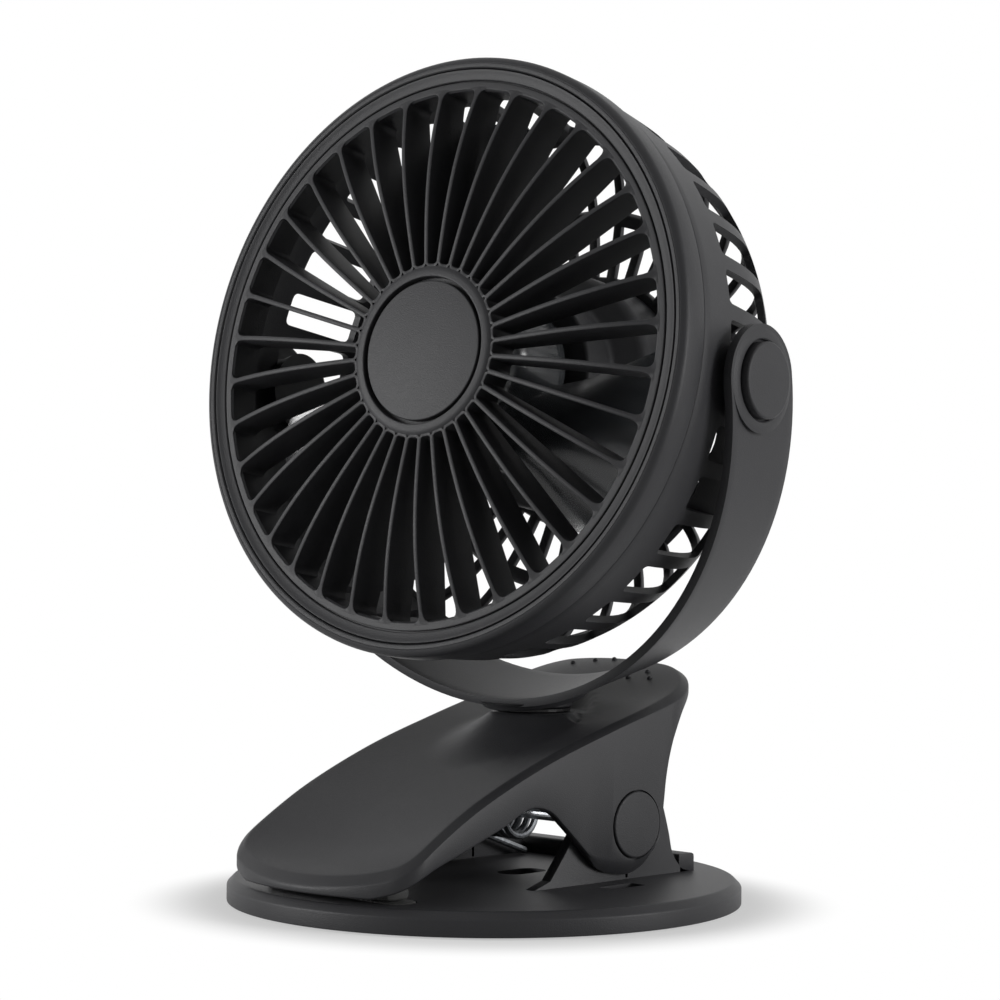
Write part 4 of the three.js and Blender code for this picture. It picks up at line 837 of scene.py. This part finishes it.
barrel_depths = [7.0, 10, 14, 18, 21, 24, 27, 30, 33, 35.5, 38, 40, 41.4, SEAM_DEPTH]
step_radius = drum_radius(6.2) - 0.6
drum_profile = [
    (67.15, 0.6), (67.2, 1.15), (67.45, 1.42), (67.9, 1.5), (68.25, 1.5), (68.4, 1.38), (68.55, 1.46),
    (68.9, 1.36), (69.3, 1.1), (69.65, 0.75), (69.9, 0.3),
    (70.0, -0.2), (70.0, -5.5), (69.85, -5.85), (69.5, -6.1), (step_radius, -6.2),
    (step_radius, -6.5), *[(drum_radius(d), -d) for d in barrel_depths],
    *[(drum_radius(d) - DRUM_WALL, -d) for d in reversed(barrel_depths[2:])],
    (65.5, -8.2), (67.15, -7.7)]
drum = turned("drum_shell", drum_profile, 216)

slot_radius = drum_radius((SLOT_FRONT + SLOT_REAR) / 2)
slot_width = 2 * slot_radius * math.sin(math.radians(3.5))


def slot_cutter(from_radius):
    """A round-cornered block that passes outwards through the drum's wall."""
    middle = -(SLOT_FRONT + SLOT_REAR) / 2
    return plate("slot", rounded_slot(SLOT_REAR - SLOT_FRONT, slot_width, 1.6),
                 lambda u, v: (from_radius, v, middle + u), (slot_radius + 9 - from_radius, 0, 0))


through_slot, blind_slot = slot_cutter(slot_radius - 20), slot_cutter(slot_radius - 1.2)
slots = []
for i in range(36):
    angle = (i + 0.5) * PITCH
    below_boss = angle - 180 if 180 < angle < 270 else 360 - angle
    if below_boss < PITCH:
        continue
    cutter = blind_slot if below_boss < 3 * PITCH else through_slot
    copy = bpy.data.objects.new("slot_copy", cutter.data.copy())
    bpy.context.scene.collection.objects.link(copy)
    copy.data.transform(rotated(angle, "Z"))
    slots.append(copy)
cut_by(drum, joined(*slots))
bpy.data.objects.remove(through_slot)
bpy.data.objects.remove(blind_slot)
softened(drum, 0.22, 1, 50)
bosses = []
for side in (-1, 1):
    boss = turned("boss", eased([(0, slot_radius - 4), (9.4, slot_radius - 4), (8.2, slot_radius + 0.6),
                                 (8.2, 70.1), (0, 70.1)], {2: 0.8, 3: 0.4}), 64)
    boss.data.transform(moved(0, -PIVOT_DROP, -PIVOT_DEPTH)
                        @ rotated(90 * side, "Y"))
    bosses.append(boss)
fitted(settled(joined(drum, *bosses), on_fan), "head body", "charcoal_plastic", charcoal_abs, "drum")

# ---------------------------------------------------------------- front grille
# A second moulding snapped into the rim: a stepped ring, 36 thin deep vanes that rise
# towards the middle, and a hub ring. The openings have rounded outer corners.
VANE_HALF = 0.6
VANE_OUTER = 62.2
HUB_RADIUS = 19.8
VANE_DOME, VANE_SWELL = 3.6, 0.9
DOME_START, DOME_REACH = 19.0, 43.8
HUB_MIDDLE, RING_MIDDLE = 19.2, 63.0
SPOKES = 36
FACE = 1 + VANE_DOME
ring = turned("grille_moulding", [
    (61.9, -7.4), (61.9, 0.4), (62.3, 0.78), (63.0, 0.82), (63.9, 0.74), (64.06, 0.6), (64.1, 0.0),
    (64.35, 0.0), (64.4, 0.55), (64.6, 0.72), (65.4, 0.85), (66.2, 1.1), (66.6, 1.28), (66.8, 1.3),
    (66.9, 1.2), (67.0, 0.9), (67.0, -7.4)], 216)
half_pitch = math.radians(PITCH / 2)
opening_inner = HUB_RADIUS + 0.5


def vane_side(x):
    return x * math.tan(half_pitch) - VANE_HALF / math.cos(half_pitch)


OPENING_CORNER = 2.7
corners = eased([(VANE_OUTER, 0), (VANE_OUTER, vane_side(VANE_OUTER)),
                 (opening_inner, vane_side(opening_inner)), (opening_inner, 0)],
                {1: OPENING_CORNER, 2: 0.6}, 6)
half_opening = []
for (x0, y0), (x1, y1) in zip(corners, corners[1:]):
    pieces_between = max(1, round(math.hypot(x1 - x0, y1 - y0) / 1.8))
    half_opening += [(x0 + (x1 - x0) * k / pieces_between, y0 + (y1 - y0) * k / pieces_between)
                     for k in range(pieces_between)]
half_opening.append(corners[-1])
opening = half_opening + [(x, -y) for x, y in reversed(half_opening[1:-1])]


def cell_edge(x, y):
    """The point of the neighbouring vanes' middle lines, or of the rings, beside one of the opening."""
    if x >= VANE_OUTER - OPENING_CORNER * 0.3:
        a = min(max(y / (vane_side(VANE_OUTER) - OPENING_CORNER * 0.35), -1), 1) * half_pitch
        return Vector((RING_MIDDLE * math.cos(a), RING_MIDDLE * math.sin(a)))
    if x <= opening_inner + 0.01:
        a = min(max(y / vane_side(opening_inner), -1), 1) * half_pitch
        return Vector((HUB_MIDDLE * math.cos(a), HUB_MIDDLE * math.sin(a)))
    beyond = min(max(0, (x - VANE_OUTER + OPENING_CORNER) / (OPENING_CORNER * 0.7)), 1)
    reach = x / math.cos(half_pitch) * (1 - beyond) + RING_MIDDLE * beyond
    return Vector((reach * math.cos(half_pitch), math.copysign(reach * math.sin(half_pitch), y)))


def dome(radius):
    t = min(max((radius - DOME_START) / DOME_REACH, 0), 1)
    return 0.78 + VANE_DOME * (1 - t ** 3) + VANE_SWELL * math.sin(math.pi * t)


def vane_back(radius):
    t = min(max((radius - DOME_START) / DOME_REACH, 0), 1)
    return -3.0 - 4.2 * t


def grille_cell(i, j):
    x, y = opening[i]
    wall = Vector((x, y))
    edge = cell_edge(x, y)
    if j in (0, 6, 5):
        at, level = edge, dome(edge.length) if j != 5 else vane_back(edge.length)
    elif j in (1, 2, 3):
        apart = max((edge - wall).length, 0.01)
        at = wall + (edge - wall) * min((0.3, 0.1, 0.0)[j - 1] / apart, 0.95)
        level = dome(at.length) - (0.0, 0.1, 0.34)[j - 1]
    else:
        at, level = wall, vane_back(wall.length)
    return Vector((at.x, at.y, level))


def ring_of(count):
    """Repeats what is in edit mode round the Z axis."""
    bpy.ops.mesh.select_all(action="SELECT")
    bpy.ops.mesh.spin(steps=count - 1, angle=2 * math.pi * (count - 1) / count,
                      center=(0, 0, 0), axis=(0, 0, 1), dupli=True)


cell = shaped_grid("grille_cell", len(opening), 6, grille_cell)
to_edit("DESELECT")
bpy.ops.mesh.select_mode(type="FACE")
bpy.ops.object.mode_set(mode="OBJECT")
for face in cell.data.polygons:
    # faces between two cells lie inside the vane that the cells share
    face.select = all(abs(abs(math.atan2(cell.data.vertices[v].co.y, cell.data.vertices[v].co.x))
                          - half_pitch) < 1e-4 for v in face.vertices)
bpy.ops.object.mode_set(mode="EDIT")
bpy.ops.mesh.delete(type="FACE")
ring_of(SPOKES)
welded()
closed_up()

HUB_CAP_RADIUS = 16.3
cap_floor = FACE - 1.75
hub = turned("grille_hub", eased([
    (0, cap_floor), (17.2, cap_floor), (17.2, FACE + 0.35), (19.1, FACE + 0.2),
    (HUB_RADIUS + 0.3, FACE - 0.5), (HUB_RADIUS + 0.3, FACE - 8), (18.2, FACE - 8),
    (18.2, cap_floor - 1.6), (0, cap_floor - 1.6)],
    {2: 0.35, 3: 0.6, 4: 0.3}), 144)
fitted(settled(joined(ring, cell, hub), on_fan), "head body", "charcoal_plastic", charcoal_abs,
       "front_grille")

# the hub's cap: a plain flat disc glued into the hub ring, left bare
hub_cap = turned("grille_hub_cap", eased(
    [(0, FACE - 1.4), (HUB_CAP_RADIUS, FACE - 1.4), (HUB_CAP_RADIUS, FACE), (0, FACE)], {2: 0.35}), 144)
fitted(settled(hub_cap, on_fan), "head body", "charcoal_plastic", charcoal_abs, "hub_cap")

# ---------------------------------------------------------------- impeller
# Three wide swept blades on a cup-shaped spinner, moulded in one from clear smoke-grey
# polystyrene, pressed on the motor's shaft.
BLADE_RADIUS, BLADE_ROOT = 57.5, 15.5
BLADE_COUNT, BLADE_SWEEP, BLADE_PHASE = 3, 58.0, -34.0
BLADE_FRONT, BLADE_REAR, BLADE_THICKNESS = 9.0, 25.0, 1.4
blade_across, blade_along = 14, 18


def blade_vertex(i, j):
    """i runs round the blade's section from leading to trailing side and back, j out to its tip."""
    upper = i <= blade_along
    v = (i if upper else 2 * blade_along + 1 - i) / blade_along
    u = j / blade_across
    r = BLADE_ROOT + (BLADE_RADIUS - BLADE_ROOT) * u
    tip_round = math.sqrt(1 - max(0, (u - 0.6) / 0.4) ** 4 * 0.45)
    span = BLADE_SWEEP * (0.8 + 0.2 * math.sin(u * math.pi * 0.75)) * tip_round
    angle = math.radians((v - 0.5) * span + u * 14)
    rise = (BLADE_REAR - BLADE_FRONT - BLADE_THICKNESS) * (1 - 0.25 * u)
    z = -(BLADE_FRONT + BLADE_REAR) / 2 + rise * (0.5 - v) + 1.6 * math.sin(v * math.pi)
    thickness = BLADE_THICKNESS * (0.35 + 0.65 * math.sin(v * math.pi) ** 0.4)
    z += thickness / 2 if upper else -thickness / 2
    return Vector((r * math.cos(angle), r * math.sin(angle), z))


blade = shaped_grid("fan_blades", 2 * blade_along + 2, blade_across, blade_vertex)
close_open_ends()
ring_of(BLADE_COUNT)
closed_up()
blade.data.transform(rotated(BLADE_PHASE, "Z"))
spinner = turned("spinner", eased([
    (0, -7), (12.5, -7), (15.9, -8.4), (17.5, -12), (17.5, -27), (15.9, -27), (15.9, -12.4),
    (12.5, -8.8), (3.2, -8.8), (3.2, -24), (1.3, -24), (1.3, -9.6), (0, -9.6)],
    {1: 2.0, 2: 2.0, 3: 1.5}), 96)


def smoke_plastic(name, colour):
    """Clear moulded plastic tinted grey: glossy, see-through, with flow lines in its sheen."""
    material, tree, shader, place = new_material(name)
    flow = add_node(tree, "ShaderNodeTexNoise",
                    values={"Scale": 120.0, "Detail": 3.0, "Distortion": 0.6}, links={"Vector": place})
    sheen = add_node(tree, "ShaderNodeMapRange", values={"To Min": 0.12, "To Max": 0.3},
                     links={"Value": flow.outputs[0]})
    two_shades(tree, shader, flow.outputs[0], colour, "#5C5F62")
    tree.links.new(sheen.outputs[0], shader.inputs["Roughness"])
    shader.inputs["Transmission Weight"].default_value = 0.55
    shader.inputs["IOR"].default_value = 1.49
    return material


# smoke-tinted polystyrene: darkens what lies behind it and catches light on its faces
smoke_polystyrene = smoke_plastic("smoke_tinted_polystyrene", "#4A4C4F")
fitted(settled(joined(blade, spinner), on_fan), "impeller body", "smoke_plastic",
       smoke_polystyrene, "impeller")

# ---------------------------------------------------------------- rear cage
# The back of the head, one ABS moulding: a seam ring, ribs that follow the drum's rounding
# to a hub, a ring across them, and the pod that holds motor, battery and board.
POD_RADIUS, POD_WALL, POD_FRONT = 29.0, 1.8, 30.0
NECK_RADIUS, NECK_END = 22.0, 40.0
CAGE_RING, CAGE_RING_WIDTH, CAGE_RIB = 46.0, 3.0, 2.4
COVER_FRONT, COVER_BACK = 57.0, 59.0


def back_point(roundness, inset):
    """A point of the rounded back: roundness 0 at the drum's side, 90 degrees at the fan's axis."""
    s, c = math.sin(roundness), math.cos(roundness)
    depth = SHOULDER + ROUNDING * s ** (2 / ROUND_POWER)
    radius = (RIM_RADIUS - TAPER * depth) * c ** (2 / ROUND_POWER)
    return radius - inset * c, -depth + inset * s ** 3


def roundness_at_radius(radius):
    low, high = 0, math.pi / 2
    for _ in range(40):
        middle = (low + high) / 2
        low, high = (middle, high) if back_point(middle, 0)[0] > radius else (low, middle)
    return low


def roundness_at_depth(depth):
    return math.asin(((depth - SHOULDER) / ROUNDING) ** (ROUND_POWER / 2))


def back_band(start, end, steps, proud=0.0):
    """Closed outline of a strip of the back between two places on it."""
    places = [start + (end - start) * k / steps for k in range(steps + 1)]
    return ([back_point(p, -proud) for p in places]
            + [back_point(p, DRUM_WALL) for p in reversed(places)])


seam_start = roundness_at_depth(SEAM_DEPTH + 0.3)
seam_end = roundness_at_depth(SEAM_DEPTH + 1.9)
pod_edge = roundness_at_radius(POD_RADIUS - 0.9)
hub_edge = roundness_at_radius(POD_RADIUS + 2.4)
bands = [turned("band", back_band(seam_start, seam_end, 2), 216),
         turned("band", back_band(hub_edge, pod_edge, 3), 144)]
bands.append(turned("band", back_band(roundness_at_radius(CAGE_RING + CAGE_RING_WIDTH / 2),
                                      roundness_at_radius(CAGE_RING - CAGE_RING_WIDTH / 2), 2), 216))
for band in bands:
    softened(band, 0.3, 2, 50)
rib_line = back_band((seam_start + seam_end) / 2, (hub_edge + pod_edge) / 2, 12)
rib = plate("cage_moulding", rib_line, lambda r, z: (r, -CAGE_RIB / 2, z), (0, CAGE_RIB, 0))
softened(rib, 0.35, 2, 60)
to_edit()
ring_of(SPOKES)
bpy.ops.object.mode_set(mode="OBJECT")
pod_back = back_point(pod_edge, 0)[1]
pod = turned("pod", eased([
    (0, -POD_FRONT), (NECK_RADIUS, -POD_FRONT), (NECK_RADIUS, -NECK_END), (POD_RADIUS, -NECK_END - 4),
    (POD_RADIUS, pod_back - 0.4), (POD_RADIUS - POD_WALL, pod_back - 0.4),
    (POD_RADIUS - POD_WALL, -NECK_END - 4.6),
    (NECK_RADIUS - POD_WALL, -NECK_END - 0.6), (NECK_RADIUS - POD_WALL, -POD_FRONT - POD_WALL),
    (0, -POD_FRONT - POD_WALL)], {1: 1.0, 2: 1.2, 3: 2.0, 4: 0.6, 5: 0.4}), 144)
fitted(settled(joined(rib, *bands, pod), on_fan), "head body", "charcoal_plastic", charcoal_abs,
       "rear_cage")

# ---------------------------------------------------------------- rear cover and what it carries
# A round ABS lid on three screws closes the pod. It has the push button in its middle, three
# light windows above, and the charging inlet below.
BUTTON_RADIUS = 6.5
cover_radius = POD_RADIUS - POD_WALL - 0.3
cover = turned("pod_cover", eased(
    [(0, -COVER_BACK), (cover_radius, -COVER_BACK), (cover_radius, -COVER_FRONT), (0, -COVER_FRONT)],
    {1: 0.9}, 5), 144)


def drilled(piece, profile, x=0.0, y=0.0, steps=48):
    drill = turned("drill", profile, steps)
    drill.data.transform(moved(x, y, 0))
    cut_by(piece, drill)


drilled(cover, [(0, -60), (BUTTON_RADIUS + 0.35, -60), (BUTTON_RADIUS + 0.35, -56), (0, -56)], steps=96)


def on_circle(radius, angles):
    return [(radius * math.cos(math.radians(a)), radius * math.sin(math.radians(a))) for a in angles]


light_places = on_circle(13, (70, 90, 110))
for x, y in light_places:
    drilled(cover, [(0, -60), (1.2, -60), (1.2, -56), (0, -56)], x, y, 32)
screw_places = on_circle(23.4, (30, 150, 270))
for x, y in screw_places:
    drilled(cover, [(0, -60), (2.4, -60), (2.4, -57.8), (1.4, -57.8), (1.4, -56), (0, -56)], x, y)
INLET_WIDTH, INLET_HEIGHT, INLET_DROP = 9.0, 3.4, 15.6
inlet_hole = plate("inlet_hole", rounded_slot(INLET_WIDTH + 0.8, INLET_HEIGHT + 0.8, 2.1),
                   lambda x, y: (x, y - INLET_DROP, -60), (0, 0, 4))
cut_by(cover, inlet_hole)
fitted(settled(cover, on_fan), "head body", "charcoal_plastic", charcoal_abs, "rear_cover")

# the push button is dished and stands proud of the cover
back = -COVER_BACK - 1.2
button = turned("push_button", eased([
    (0, back + 0.5), (3.2, back + 0.38), (5.2, back + 0.05), (BUTTON_RADIUS, back),
    (BUTTON_RADIUS, -56.7), (8.0, -56.7), (8.0, -55.9), (0, -55.9)], {3: 0.5}), 96)
button_abs = moulded_plastic("charcoal_abs_button_satin", "#2B2B2D", "#303032", 0.36, 0.3, 0.15)
fitted(settled(button, on_fan), "button body", "charcoal_plastic", button_abs, "power_button")

# small pan-head screws with a cross recess
for number, (x, y) in enumerate(screw_places, 1):
    screw = turned("cover_pan_screw_%d" % number, eased([
        (0, -58.7), (1.0, -58.68), (2.0, -58.3), (2.0, -58.0), (1.0, -58.0), (1.0, -51.7), (0, -51.7)],
        {2: 0.2}), 48)
    for turn in (0, 90):
        bpy.ops.mesh.primitive_cube_add(size=1)
        blade_slot = bpy.context.object
        blade_slot.data.transform(moved(0, 0, -58.7) @ rotated(turn, "Z")
                                  @ Matrix.Diagonal((2.1, 0.45, 0.7, 1)))
        cut_by(screw, blade_slot)
    screw.data.transform(moved(x, y, 0))
    fitted(settled(screw, on_fan), "head body", "bright_steel", bright_steel, "cover_screw_%d" % number)

# the light windows are one clear acrylic moulding, and the inlet's shell is folded steel
clear_acrylic = smoke_plastic("clear_acrylic_light_pipe", "#C9D0D6")
keep("lamp_pipe", clear_acrylic)
keep("usb_inlet", bright_steel)

# ---------------------------------------------------------------- inside the pod
# A small brushed motor on two brass screws, a flat lithium cell in its shrink wrap, and a
# round circuit board with the push switch.
motor_steel = drawn_steel("nickel_plated_motor_can", "#AEB0B3", 0.28, (2600, 2600, 500))
keep("motor", motor_steel)
keep("motor_shaft", bright_steel)
keep("motor_screw_1", brass)
keep("motor_screw_2", brass)
# glass-epoxy board under green solder mask: glossy, with the weave faintly showing
board_mask = moulded_plastic("green_solder_mask_on_epoxy", "#1C5635", "#23653F", 0.3, 0.6, 0.2)
keep("control_board", board_mask)
# heat-shrunk film over the cell: pale grey, glossy and slightly creased
shrink_film = moulded_plastic("grey_shrink_film", "#A4A8AD", "#B4B8BC", 0.26, 3.0, 0.6)
keep("battery", shrink_film)

bpy.context.scene.view_settings.view_transform = "Standard"
